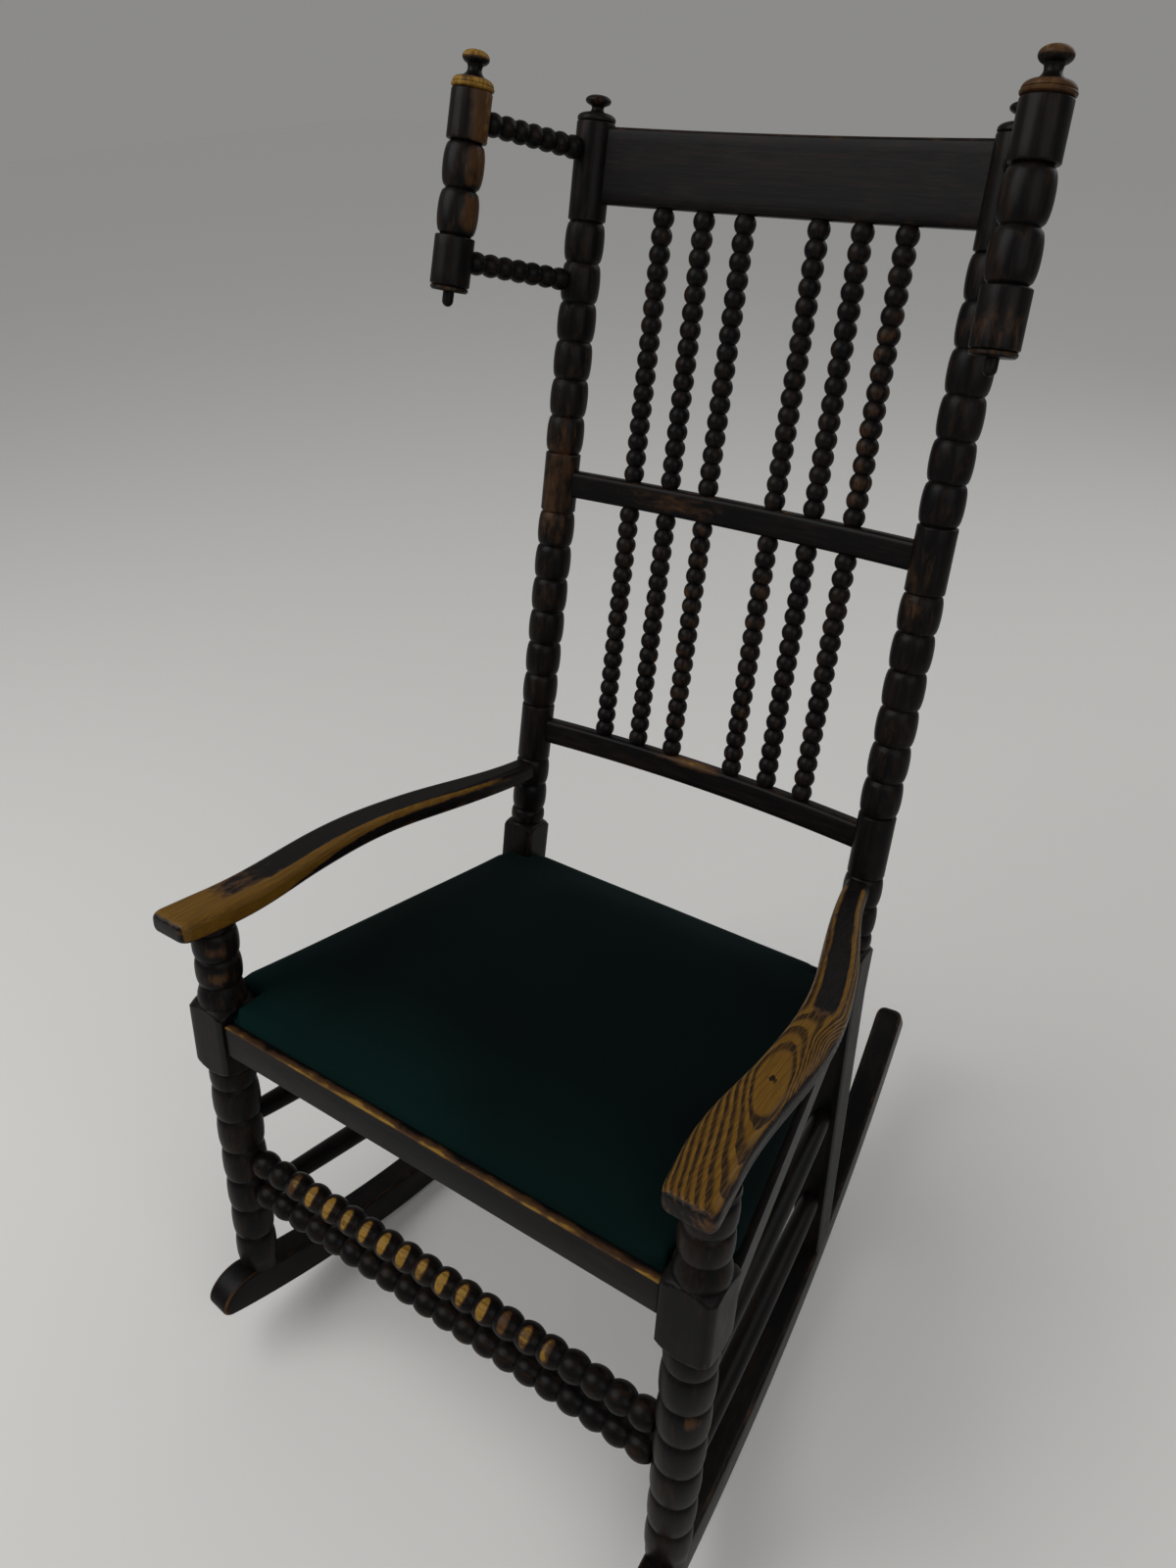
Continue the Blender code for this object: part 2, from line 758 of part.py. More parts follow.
def build_back_finial(label, side):
    axis = Vector((-side * math.sin(post_lean_in), 0, math.cos(post_lean_in)))
    seat = Vector((side * post_x, 0, 0)) + axis * (post_top + fit)
    profile = knob_profile(neck_height, cap_radius, post_cap_share)
    turned(f"back_finial_{label}", profile, back, stained, along(seat, axis), post_sides)
    add_socket(f"back_post_{label}", back, seat, -axis, dowel_radius, dowel_length, post_sides)


# Bowed rails between the posts


def bow_at(x):
    return back_bow * (1 - (x / post_x) ** 2)


def rail_ring(share, middle, height, thickness, reach):
    """Section of a bowed rail at a share of its half length, with its ends at reach from the posts' axes."""
    ring = []
    for y, up in rectangle(thickness / 2, height / 2):
        x = share * (post_x - (middle + up) * math.tan(post_lean_in) - reach)
        ring.append((x, y + bow_at(x), middle + up))
    return ring


def build_back_rail(name, middle, height):
    shoulder = post_block_radius + fit
    tenon_reach = shoulder - rail_tenon_length
    tenon_height = height - 2 * rail_tenon_inset
    hole_height = tenon_height + 2 * fit
    hole_thickness = rail_tenon_thickness + 2 * fit
    rings = [
        rail_ring(-1, middle, tenon_height, rail_tenon_thickness, tenon_reach),
        rail_ring(-1, middle, tenon_height, rail_tenon_thickness, shoulder),
    ]
    for i in range(rail_segments + 1):
        rings.append(rail_ring(-1 + 2 * i / rail_segments, middle, height, rail_thickness, shoulder))
    rings.append(rail_ring(1, middle, tenon_height, rail_tenon_thickness, shoulder))
    rings.append(rail_ring(1, middle, tenon_height, rail_tenon_thickness, tenon_reach))
    obj = loft(name, rings, back, stained)
    for label, side in sides_of_chair:
        hole = [
            rail_ring(side, middle, hole_height, hole_thickness, shoulder + socket_margin),
            rail_ring(side, middle, hole_height, hole_thickness, tenon_reach - fit),
        ]
        add_mortise(f"back_post_{label}", hole, back)
    cut_sockets(obj)


def build_spindles(row, low_rail, low, high_rail, high):
    """A row of spindles between two rails, in two groups about the middle."""
    places = []
    for side in (-1, 1):
        for i in range(spindles_per_side):
            places.append(side * (spindle_first + i * spindle_spacing))
    length = high - low - 2 * fit
    pitch = length / spindle_beads
    for number, x in enumerate(sorted(places), 1):
        foot = Vector((x, bow_at(x), low + fit))
        profile = [
            (0.0, length + spindle_tenon_length),
            (spindle_tenon_radius, length + spindle_tenon_length),
            (spindle_tenon_radius, length),
        ]
        profile += beads(length, pitch, spindle_beads, spindle_radius, spindle_groove_radius)
        profile += [(spindle_groove_radius, 0.0), (spindle_tenon_radius, 0.0)]
        profile += [(spindle_tenon_radius, -spindle_tenon_length), (0.0, -spindle_tenon_length)]
        turned(f"{row}_spindle_{number}", profile, back, stained, along(foot, (0, 0, 1)), spindle_sides)
        head = foot + Vector((0, 0, length))
        for rail, start, up in ((low_rail, foot, -1), (high_rail, head, 1)):
            axis = (0, 0, up)
            add_socket(rail, back, start, axis, spindle_tenon_radius, spindle_tenon_length, spindle_sides)


# Ears

ear_top = ear_low_block + ear_bobbin_count * ear_bobbin_pitch + ear_high_block


def ear_frame(side):
    """Foot and direction of an ear's axis, in the frame of the back."""
    axis = Vector((-side * math.tan(ear_lean_in), math.tan(ear_rake), 1.0)).normalized()
    return Vector((side * ear_x, -ear_forward, ear_height)), axis


def build_ear(label, side):
    foot, axis = ear_frame(side)
    name = f"ear_post_{label}"
    low_top = ear_low_block
    high_low = ear_top - ear_high_block
    profile = [(0.0, ear_top)]
    profile += plain_block(ear_top, ear_high_block - 0.001, ear_block_radius)
    profile += bobbins(high_low, ear_bobbin_pitch, ear_bobbin_count, ear_radius, ear_groove_radius)
    profile += [(ear_groove_radius, low_top)]
    profile += plain_block(low_top - 0.001, low_top - 0.001, ear_block_radius)
    profile += [(0.0, 0.0)]
    obj = turned(name, profile, back, stained, along(foot, axis), post_sides)

    seat = foot + axis * (ear_top + fit)
    finial = knob_profile(ear_neck_height, ear_cap_radius, 1.0)
    turned(f"ear_finial_{label}", finial, back, worn, along(seat, axis), post_sides)
    add_socket(name, back, seat, -axis, dowel_radius, dowel_length, post_sides)

    drop = [
        (0.0, dowel_length),
        (dowel_radius, dowel_length),
        (dowel_radius, 0.0),
        (cap_radius, 0.0),
        (cap_radius, -0.6 * drop_height),
        (0.8 * cap_radius, -drop_height),
        (pin_radius, -drop_height),
        (pin_radius, -drop_height - 0.75 * pin_length),
        (0.6 * pin_radius, -drop_height - pin_length),
        (0.0, -drop_height - pin_length),
    ]
    drop_seat = foot - axis * fit
    turned(f"ear_drop_{label}", drop, back, worn, along(drop_seat, axis), post_sides)
    add_socket(name, back, drop_seat, axis, dowel_radius, dowel_length, post_sides)

    bobbin_two = top_block_low - 1.5 * post_bobbin_pitch
    upper_on_post = post_top - ear_spindle_top_drop
    build_ear_spindle("upper", label, side, ear_spindle_high, upper_on_post, post_block_radius)
    build_ear_spindle("lower", label, side, ear_spindle_low, bobbin_two, post_radius)
    cut_sockets(obj)


def build_ear_spindle(row, label, side, ear_at, post_at, post_surface):
    foot, ear_axis = ear_frame(side)
    ear_point = foot + ear_axis * ear_at
    post_place = post_point(side, post_at)
    run = (post_place - ear_point).normalized()
    start = ear_point + run * (ear_block_radius + fit)
    end = post_place - run * (post_surface + fit)
    length = (end - start).length
    pitch = length / ear_spindle_beads
    tenon_end = length + stretcher_tenon_length
    profile = [(0.0, tenon_end), (stretcher_tenon_radius, tenon_end), (stretcher_tenon_radius, length)]
    profile += beads(length, pitch, ear_spindle_beads, ear_spindle_radius, ear_spindle_groove_radius)
    profile += [(ear_spindle_groove_radius, 0.0), (stretcher_tenon_radius, 0.0)]
    profile += [(stretcher_tenon_radius, -stretcher_tenon_length), (0.0, -stretcher_tenon_length)]
    turned(f"ear_spindle_{row}_{label}", profile, back, stained, along(start, run), socket_sides)
    for post, mouth, axis in ((f"ear_post_{label}", start, -run), (f"back_post_{label}", end, run)):
        add_socket(post, back, mouth, axis, stretcher_tenon_radius, stretcher_tenon_length, socket_sides)


# Seat rails. Their sections are given as (outward, up) from the rail's outer top edge.

leg_inner_x = front_leg_x - leg_block / 2
leg_back_y = front_leg_y + leg_block / 2
front_face = front_leg_y - leg_block / 2 + front_rail_setback
post_front_y = knee_y - rear_leg_side / 2
post_inner_x = post_x - rear_leg_side / 2
rail_bottom = seat_rail_top - seat_rail_height
ledge = seat_rail_top - rebate_depth


def rebated_section(strip):
    """Rail section as (inward, level), with the seat's rebate on its inner upper corner."""
    return [
        (0.0, rail_bottom),
        (seat_rail_thickness, rail_bottom),
        (seat_rail_thickness, ledge),
        (strip, ledge),
        (strip, seat_rail_top),
        (0.0, seat_rail_top),
    ]


def tenon_section(inward, grow=0.0):
    """Six points round a seat rail's tenon, to follow the six of the rail."""
    low = rail_bottom + seat_tenon_inset - grow
    high = ledge - seat_tenon_inset + grow
    near = inward - seat_tenon_thickness / 2 - grow
    far = inward + seat_tenon_thickness / 2 + grow
    half = (near + far) / 2
    return [(near, low), (far, low), (far, high), (half + (far - half) / 2, high), (half, high), (near, high)]


def cross_rings(ends, tenon_ends, face, inward_sign, strip, tenon_inward, grow=0.0):
    """Rings of a rail that runs along X, from its outer face inwards along Y."""

    def ring(x, section):
        return [(x, face + inward_sign * inward, level) for inward, level in section]

    tenon = tenon_section(tenon_inward, grow)
    body = rebated_section(strip)
    return [
        ring(-tenon_ends, tenon),
        ring(-ends, tenon),
        ring(-ends, body),
        ring(ends, body),
        ring(ends, tenon),
        ring(tenon_ends, tenon),
    ]


def build_cross_rail(name, post_name, inner_x, face, inward_sign, strip, tenon_inward):
    ends = inner_x - fit
    rings = cross_rings(ends, ends + seat_tenon_length, face, inward_sign, strip, tenon_inward)
    loft(name, rings, leaning, stained)
    hole = tenon_section(tenon_inward, fit)
    for label, side in sides_of_chair:
        mouth = side * (ends - socket_margin)
        deep = side * (ends + seat_tenon_length + fit)
        mortise = [[(x, face + inward_sign * inward, level) for inward, level in hole] for x in (mouth, deep)]
        add_mortise(f"{post_name}_{label}", mortise, leaning)


front_outer_x = front_leg_x + leg_block / 2 - side_rail_setback
rear_outer_x = post_x + rear_leg_side / 2 - side_rail_setback


def side_outer_x(y):
    """Outer face of a side rail, which slants in from the front leg to the post."""
    return front_outer_x + (rear_outer_x - front_outer_x) * (y - leg_back_y) / (post_front_y - leg_back_y)


def build_side_rail(label, side):
    front_y = leg_back_y + fit
    rear_y = post_front_y - fit
    front_inward = front_outer_x - front_leg_x
    rear_inward = rear_outer_x - post_x

    def ring(y, outer, section):
        return [(side * (outer - inward), y, level) for inward, level in section]

    body = rebated_section(side_strip)
    front_tenon = tenon_section(front_inward)
    rear_tenon = tenon_section(rear_inward)
    front_x = side_outer_x(front_y)
    rear_x = side_outer_x(rear_y)
    rings = [
        ring(front_y - seat_tenon_length, front_x, front_tenon),
        ring(front_y, front_x, front_tenon),
        ring(front_y, front_x, body),
        ring(rear_y, rear_x, body),
        ring(rear_y, rear_x, rear_tenon),
        ring(rear_y + seat_tenon_length, rear_x, rear_tenon),
    ]
    loft(f"side_seat_rail_{label}", rings, leaning, stained)
    front_hole = tenon_section(front_inward, fit)
    rear_hole = tenon_section(rear_inward, fit)
    front_mortise = [
        ring(front_y + socket_margin, front_x, front_hole),
        ring(front_y - seat_tenon_length - fit, front_x, front_hole),
    ]
    rear_mortise = [
        ring(rear_y - socket_margin, rear_x, rear_hole),
        ring(rear_y + seat_tenon_length + fit, rear_x, rear_hole),
    ]
    add_mortise(f"front_leg_{label}", front_mortise, leaning)
    add_mortise(f"back_post_{label}", rear_mortise, leaning)


# Stretchers


def build_front_stretcher(row, level):
    end = front_leg_x - leg_radius - fit
    pitch = 2 * end / front_stretcher_beads
    profile = [
        (0.0, 2 * end + stretcher_tenon_length),
        (stretcher_tenon_radius, 2 * end + stretcher_tenon_length),
        (stretcher_tenon_radius, 2 * end),
    ]
    groove = front_stretcher_groove_radius
    profile += beads(2 * end, pitch, front_stretcher_beads, front_stretcher_radius, groove)
    profile += [(groove, 0.0), (stretcher_tenon_radius, 0.0)]
    profile += [(stretcher_tenon_radius, -stretcher_tenon_length), (0.0, -stretcher_tenon_length)]
    start = Vector((-end, front_leg_y, level))
    name = f"front_stretcher_{row}"
    turned(name, profile, leaning, stained, along(start, (1, 0, 0)), stretcher_sides)
    for label, side in sides_of_chair:
        mouth = (side * end, front_leg_y, level)
        add_socket(
            f"front_leg_{label}",
            leaning,
            mouth,
            (side, 0, 0),
            stretcher_tenon_radius,
            stretcher_tenon_length,
            stretcher_sides,
        )


def rear_leg_at(level):
    """Axis and half side of the square rear leg at a level below the seat."""
    low = rear_foot_level - 0.5 * rocker_height
    high = knee_z - 0.5 * leg_block
    share = (level - low) / (high - low)
    x = rear_foot_x + (post_x - rear_foot_x) * share
    y = rear_foot_y + (knee_y - rear_foot_y) * share
    half = (rear_foot_side + (rear_leg_side - rear_foot_side) * share) / 2
    return x, y, half


def plain_bar(name, start, end):
    """A plain turned bar, a little slimmer at its ends, with a tenon at each."""
    run = end - start
    length = run.length
    tenon = stretcher_tenon_length
    profile = [
        (0.0, length + tenon),
        (stretcher_tenon_radius, length + tenon),
        (stretcher_tenon_radius, length),
        (side_stretcher_end_radius, length),
        (side_stretcher_radius, 0.75 * length),
        (side_stretcher_radius, 0.25 * length),
        (side_stretcher_end_radius, 0.0),
        (stretcher_tenon_radius, 0.0),
        (stretcher_tenon_radius, -tenon),
        (0.0, -tenon),
    ]
    turned(name, profile, leaning, stained, along(start, run), stretcher_sides)


def add_bar_socket(target, start, axis):
    add_socket(target, leaning, start, axis, stretcher_tenon_radius, stretcher_tenon_length, stretcher_sides)


def build_side_stretcher(row, label, side, front_level, rear_level):
    rear_x, rear_y, rear_half = rear_leg_at(rear_level)
    front_axis = Vector((side * front_leg_x, front_leg_y, front_level))
    rear_axis = Vector((side * rear_x, rear_y, rear_level))
    run = (rear_axis - front_axis).normalized()
    start = front_axis + run * (leg_radius + fit)
    end = rear_axis - run * (rear_half + 2 * fit + side_stretcher_end_radius * abs(run.x) / run.y) / run.y
    plain_bar(f"side_stretcher_{row}_{label}", start, end)
    add_bar_socket(f"front_leg_{label}", start, -run)
    add_bar_socket(f"back_post_{label}", end, run)


def build_back_stretcher():
    x, y, half = rear_leg_at(back_stretcher_level)
    slope = abs(rear_foot_x - post_x) / (knee_z - rear_foot_level)
    end = x - half - fit - side_stretcher_end_radius * slope
    left = Vector((-end, y, back_stretcher_level))
    right = Vector((end, y, back_stretcher_level))
    plain_bar("back_stretcher", left, right)
    add_bar_socket("back_post_left", left, (-1, 0, 0))
    add_bar_socket("back_post_right", right, (1, 0, 0))


# Drop-in seat, which lifts straight off the ledge of the rails

seat = add_empty("seat_frame_origin", leaning, (0, 0, ledge))

seat_front = front_face + front_strip + seat_gap
seat_rear = rear_rail_back - rear_strip - seat_gap
notch_front = leg_back_y + seat_gap
notch_rear = post_front_y - seat_gap
seat_front_x = leg_inner_x - seat_gap
seat_rear_x = post_inner_x - seat_gap


def seat_edge_x(y):
    return side_outer_x(y) - side_strip - seat_gap


def seat_outline(inset=0.0):
    """The seat's plan, notched round the leg blocks in front and the posts behind."""
    half = [
        (seat_front_x - inset, seat_front + inset),
        (seat_front_x - inset, notch_front + inset),
        (seat_edge_x(notch_front) - inset, notch_front + inset),
        (seat_edge_x(notch_rear) - inset, notch_rear - inset),
        (seat_rear_x - inset, notch_rear - inset),
        (seat_rear_x - inset, seat_rear - inset),
    ]
    return half + [(-x, y) for x, y in reversed(half)]


board_low = fit
board_high = board_low + seat_board_thickness
webbing_low = board_high + fit
webbing_high = webbing_low + webbing_thickness
pad_low = webbing_high + fit


def build_seat_boards():
    inner_front = seat_edge_x(notch_front) - seat_board_width
    inner_rear = seat_edge_x(notch_rear) - seat_board_width
    front = [
        (-seat_front_x, seat_front),
        (seat_front_x, seat_front),
        (seat_front_x, notch_front),
        (-seat_front_x, notch_front),
    ]
    prism("seat_frame_front", front, board_low, board_high, seat, plain_pine)
    for label, side in sides_of_chair:
        outline = [
            (side * inner_front, notch_front + fit),
            (side * seat_edge_x(notch_front), notch_front + fit),
            (side * seat_edge_x(notch_rear), notch_rear),
            (side * inner_rear, notch_rear),
        ]
        prism(f"seat_frame_{label}", outline, board_low, board_high, seat, plain_pine)
    slant = (inner_front - inner_rear) / (notch_rear - notch_front)
    rear_front = seat_rear - seat_board_width
    rear_wide = inner_rear + slant * (notch_rear - rear_front) - 2 * fit
    rear_narrow = inner_rear - 2 * fit
    rear = [
        (-rear_wide, rear_front),
        (rear_wide, rear_front),
        (rear_narrow, notch_rear),
        (rear_narrow, seat_rear),
        (-rear_narrow, seat_rear),
        (-rear_narrow, notch_rear),
    ]
    prism("seat_frame_back", rear, board_low, board_high, seat, plain_pine)


def build_webbing():
    """Woven strips as one open lattice, given the webbing's thickness."""
    low = seat_front + webbing_land
    high = seat_rear - webbing_land
    front_half = seat_front_x - webbing_land
    rear_half = seat_rear_x - webbing_land
    shape = bmesh.new()
    bmesh.ops.create_grid(shape, x_segments=webbing_cells, y_segments=webbing_cells, size=1.0)
    holes = []
    for face in shape.faces:
        middle = face.calc_center_median()
        column = int((middle.x + 1) / 2 * webbing_cells)
        row = int((middle.y + 1) / 2 * webbing_cells)
        if column % 2 and row % 2:
            holes.append(face)
    bmesh.ops.delete(shape, geom=holes, context="FACES")
    for vertex in shape.verts:
        share = (vertex.co.y + 1) / 2
        vertex.co.x *= front_half + (rear_half - front_half) * share
        vertex.co.y = low + (high - low) * share
        vertex.co.z = webbing_low
    mesh = bpy.data.meshes.new("seat_webbing")
    shape.to_mesh(mesh)
    shape.free()
    obj = add_piece("seat_webbing", mesh, seat, jute)
    thickness = obj.modifiers.new("thickness", "SOLIDIFY")
    thickness.thickness = webbing_thickness
    thickness.offset = 1.0


def build_bottom_cloth():
    """A flat cloth tacked under the boards, inside the rails' ledges."""
    low = -bottom_cloth_thickness
    front = seat_front + bottom_cloth_inset
    rear = seat_rear - bottom_cloth_inset
    outline = [
        (seat_front_x - bottom_cloth_inset, front),
        (seat_rear_x - bottom_cloth_inset, rear),
        (-seat_rear_x + bottom_cloth_inset, rear),
        (-seat_front_x + bottom_cloth_inset, front),
    ]
    prism("seat_bottom_cloth", outline, low, 0.0, seat, dust_cloth)


def divided(outline, steps):
    """The outline with its two long slanting sides, front and back divided into steps."""
    points = []
    for (x, y), (next_x, next_y) in zip(outline, outline[1:] + outline[:1]):
        reach = math.hypot(next_x - x, next_y - y)
        count = steps if reach > seat_rear_x else 1
        for i in range(count):
            share = i / count
            points.append((x + (next_x - x) * share, y + (next_y - y) * share))
    return points


def build_pad():
    """The stuffed pad: sides drawn in at the foot, rounded over at the edge and crowned to the middle."""
    outline = divided(seat_outline(), pad_side_steps)
    middle_y = (seat_front + seat_rear) / 2
    sections = [(scale, pad_edge_height * share) for scale, share in pad_edge]
    for scale in pad_crown_rings:
        sections.append((scale, pad_edge_height + pad_crown * (1 - (scale / pad_edge[-1][0]) ** 2.2)))
    rings = []
    for scale, rise in sections:
        rings.append([(x * scale, middle_y + (y - middle_y) * scale, pad_low + rise) for x, y in outline])
    loft("seat_pad", rings, seat, velvet)


def build_back():
    lower_top = lower_rail_height + slim_rail_height / 2
    middle_low = middle_rail_height - slim_rail_height / 2
    middle_top = middle_rail_height + slim_rail_height / 2
    build_spindles("lower", "lower_rail", lower_top, "middle_rail", middle_low)
    build_spindles("upper", "middle_rail", middle_top, "top_rail", top_rail_low)
    build_back_rail("top_rail", top_rail_height_mid, top_rail_height)
    build_back_rail("middle_rail", middle_rail_height, slim_rail_height)
    build_back_rail("lower_rail", lower_rail_height, slim_rail_height)


def centre_on_floor():
    """Moves the chair so that its length, set by the rockers, is centred on the origin."""
    reaches = []
    for x, reach, _ in rocker_rings(rocker_outline(), rocker_thickness / 2)[0]:
        reaches.append(balance_y + reach * math.cos(toe_in) + x * math.sin(toe_in))
        reaches.append(balance_y + reach * math.cos(toe_in) - x * math.sin(toe_in))
    chair.location.y = -(min(reaches) + max(reaches)) / 2


def build_chair():
    front_inward = seat_rail_thickness / 2
    rear_inward = rear_rail_back - knee_y
    build_cross_rail("front_seat_rail", "front_leg", leg_inner_x, front_face, 1, front_strip, front_inward)
    build_cross_rail("rear_seat_rail", "back_post", post_inner_x, rear_rail_back, -1, rear_strip, rear_inward)
    build_front_stretcher("upper", front_stretcher_high)
    build_front_stretcher("lower", front_stretcher_low)
    build_back_stretcher()
    build_back()
    for label, side in sides_of_chair:
        build_side_rail(label, side)
        build_side_stretcher("upper", label, side, upper_side_front, upper_side_rear)
        build_side_stretcher("lower", label, side, lower_side_front, lower_side_rear)
        build_arm(label, side)
        build_ear(label, side)
        build_back_finial(label, side)
        build_front_leg(label, side)
        build_back_post(label, side)
        build_rocker(label, side)
    build_seat_boards()
    build_webbing()
    build_bottom_cloth()
    build_pad()
    centre_on_floor()


build_chair()
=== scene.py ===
# Bobbin rocking chair: the looks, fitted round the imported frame. Metres, +Z up, the sitter faces -Y.
import json
import math

import bmesh
import bpy
import numpy as np
from mathutils import Matrix, Vector, geometry, noise

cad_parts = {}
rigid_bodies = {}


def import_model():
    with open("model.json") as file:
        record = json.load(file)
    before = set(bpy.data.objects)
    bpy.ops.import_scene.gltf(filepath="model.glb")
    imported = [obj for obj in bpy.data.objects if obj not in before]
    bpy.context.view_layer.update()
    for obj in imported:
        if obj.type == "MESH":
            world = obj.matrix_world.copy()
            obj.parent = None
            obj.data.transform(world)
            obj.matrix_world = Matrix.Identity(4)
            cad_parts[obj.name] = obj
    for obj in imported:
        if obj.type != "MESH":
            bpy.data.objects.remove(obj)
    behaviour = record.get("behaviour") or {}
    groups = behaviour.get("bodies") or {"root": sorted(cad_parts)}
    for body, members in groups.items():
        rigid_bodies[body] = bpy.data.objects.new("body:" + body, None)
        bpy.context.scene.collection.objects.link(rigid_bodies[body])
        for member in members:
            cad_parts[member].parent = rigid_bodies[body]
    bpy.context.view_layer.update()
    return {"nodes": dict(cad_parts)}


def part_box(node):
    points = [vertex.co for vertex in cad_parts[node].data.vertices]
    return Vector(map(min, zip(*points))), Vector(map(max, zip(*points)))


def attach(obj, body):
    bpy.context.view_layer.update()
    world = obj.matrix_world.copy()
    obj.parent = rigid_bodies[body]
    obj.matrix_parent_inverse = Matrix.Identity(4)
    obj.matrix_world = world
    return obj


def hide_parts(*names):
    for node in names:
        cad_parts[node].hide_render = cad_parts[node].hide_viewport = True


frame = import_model()
sides = (("left", -1), ("right", 1))
print("frame loaded,", len(frame["nodes"]), "nodes")


def makeBoth(stage, *makers):
    for label, side in sides:
        for maker in makers:
            maker(label, side)
    print(stage, "made")


# The chair is laid out square and then leans back on its rockers; the back leans further from the knee up.
stance = dict(lean=math.radians(6.8), rake=math.radians(6.35), kneeY=0.085, kneeZ=0.400, legY=-0.2965)


def leanShift():  # how far the CAD moved the chair along Y, read from the upper front stretcher's axis
    low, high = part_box("front_stretcher_upper")
    middle = (low + high) / 2
    level = (middle.z + stance["legY"] * math.sin(stance["lean"])) / math.cos(stance["lean"])
    return middle.y - stance["legY"] * math.cos(stance["lean"]) - level * math.sin(stance["lean"])


stanceShift = leanShift()
leanFrame = Matrix.Translation((0, stanceShift, 0)) @ Matrix.Rotation(-stance["lean"], 4, "X")
kneePlace = Matrix.Translation((0, stance["kneeY"], stance["kneeZ"]))
rakeTurn = Matrix.Rotation(-stance["rake"], 4, "X")
backFrame = leanFrame @ kneePlace @ rakeTurn


# Node trees. Inputs are given by name, or as i and a number, and are values or other nodes' sockets.


class Nodes:
    def __init__(self, tree):
        self.tree = tree

    def feed(self, socket, value):
        if isinstance(value, bpy.types.NodeSocket):
            self.tree.links.new(value, socket)
        else:
            socket.default_value = value

    def add(self, kind, **inputs):
        made = self.tree.nodes.new(kind)
        for name, value in inputs.items():
            if hasattr(made, name) and name not in made.inputs:
                setattr(made, name, value)
            else:
                numbered = name[0] == "i" and name[1:].isdigit()
                self.feed(made.inputs[int(name[1:]) if numbered else name], value)
        return made

    def sum(self, operation, first, second=0.0):
        return self.add("ShaderNodeMath", operation=operation, i0=first, i1=second).outputs[0]

    def times(self, first, second):
        return self.sum("MULTIPLY", first, second)

    def plus(self, first, second):
        return self.sum("ADD", first, second)

    def less(self, first, second):
        return self.sum("SUBTRACT", first, second)

    def weighed(self, first, firstShare, second, secondShare):
        return self.plus(self.times(first, firstShare), self.times(second, secondShare))

    def about(self, value, middle, amount):  # how far a value lies from a middle, times an amount
        return self.times(self.less(value, middle), amount)

    def mix(self, share, low, high):
        ends = [end if isinstance(end, bpy.types.NodeSocket) else (*end, 1.0) for end in (low, high)]
        return self.add("ShaderNodeMix", data_type="RGBA", i0=share, i6=ends[0], i7=ends[1]).outputs[2]

    def spread(self, value, low, high, toLow=0.0, toHigh=1.0):  # eased map from one range to another
        ends = {"From Min": low, "From Max": high, "To Min": toLow, "To Max": toHigh}
        made = self.add("ShaderNodeMapRange", interpolation_type="SMOOTHSTEP", Value=value, **ends)
        return made.outputs["Result"]

    def speckle(self, vector, scale, detail, rough, warp=0.0):
        stretched = self.add("ShaderNodeMapping", Vector=vector, Scale=scale).outputs[0]
        sizes = dict(Scale=1.0, Detail=detail, Roughness=rough, Distortion=warp)
        return self.add("ShaderNodeTexNoise", Vector=stretched, **sizes).outputs["Fac"]

    def attribute(self, name, part="Fac"):
        return self.add("ShaderNodeAttribute", attribute_name=name).outputs[part]

    def place(self):
        return self.add("ShaderNodeTexCoord").outputs["Object"]


shaderSockets = dict(
    gloss="Specular IOR Level", coat="Coat Weight", coatRoughness="Coat Roughness", metal="Metallic",
    sheen="Sheen Weight", sheenRoughness="Sheen Roughness", sheenTint="Sheen Tint",
)


class Finish(Nodes):
    def __init__(self, name):
        self.material = bpy.data.materials.new(name)
        self.material.use_nodes = True
        super().__init__(self.material.node_tree)
        self.inputs = self.tree.nodes["Principled BSDF"].inputs

    def done(self, colour, rough, bump, constants):  # bump is a strength, a distance and a height, or None
        self.feed(self.inputs["Base Color"], colour)
        self.feed(self.inputs["Roughness"], rough)
        if bump:
            made = self.add("ShaderNodeBump", Strength=bump[0], Distance=bump[1], Height=bump[2])
            self.feed(self.inputs["Normal"], made.outputs[0])
        for key in constants.keys() & shaderSockets.keys():
            self.inputs[shaderSockets[key]].default_value = constants[key]
        return self.material


# Ebonised wood: near-black stain over brown, rubbed on the crowns, worn to gold where hands and feet meet it

stain = dict(
    black=(0.0026, 0.0023, 0.0024),
    brown=(0.0088, 0.0054, 0.0039),
    rubbed=(0.043, 0.0205, 0.0085),
    gold=(0.20, 0.112, 0.018),
    goldDark=(0.085, 0.042, 0.008),
    roughness=0.36,
    gloss=0.065,
    coat=0.015,
    coatRoughness=0.22,
)


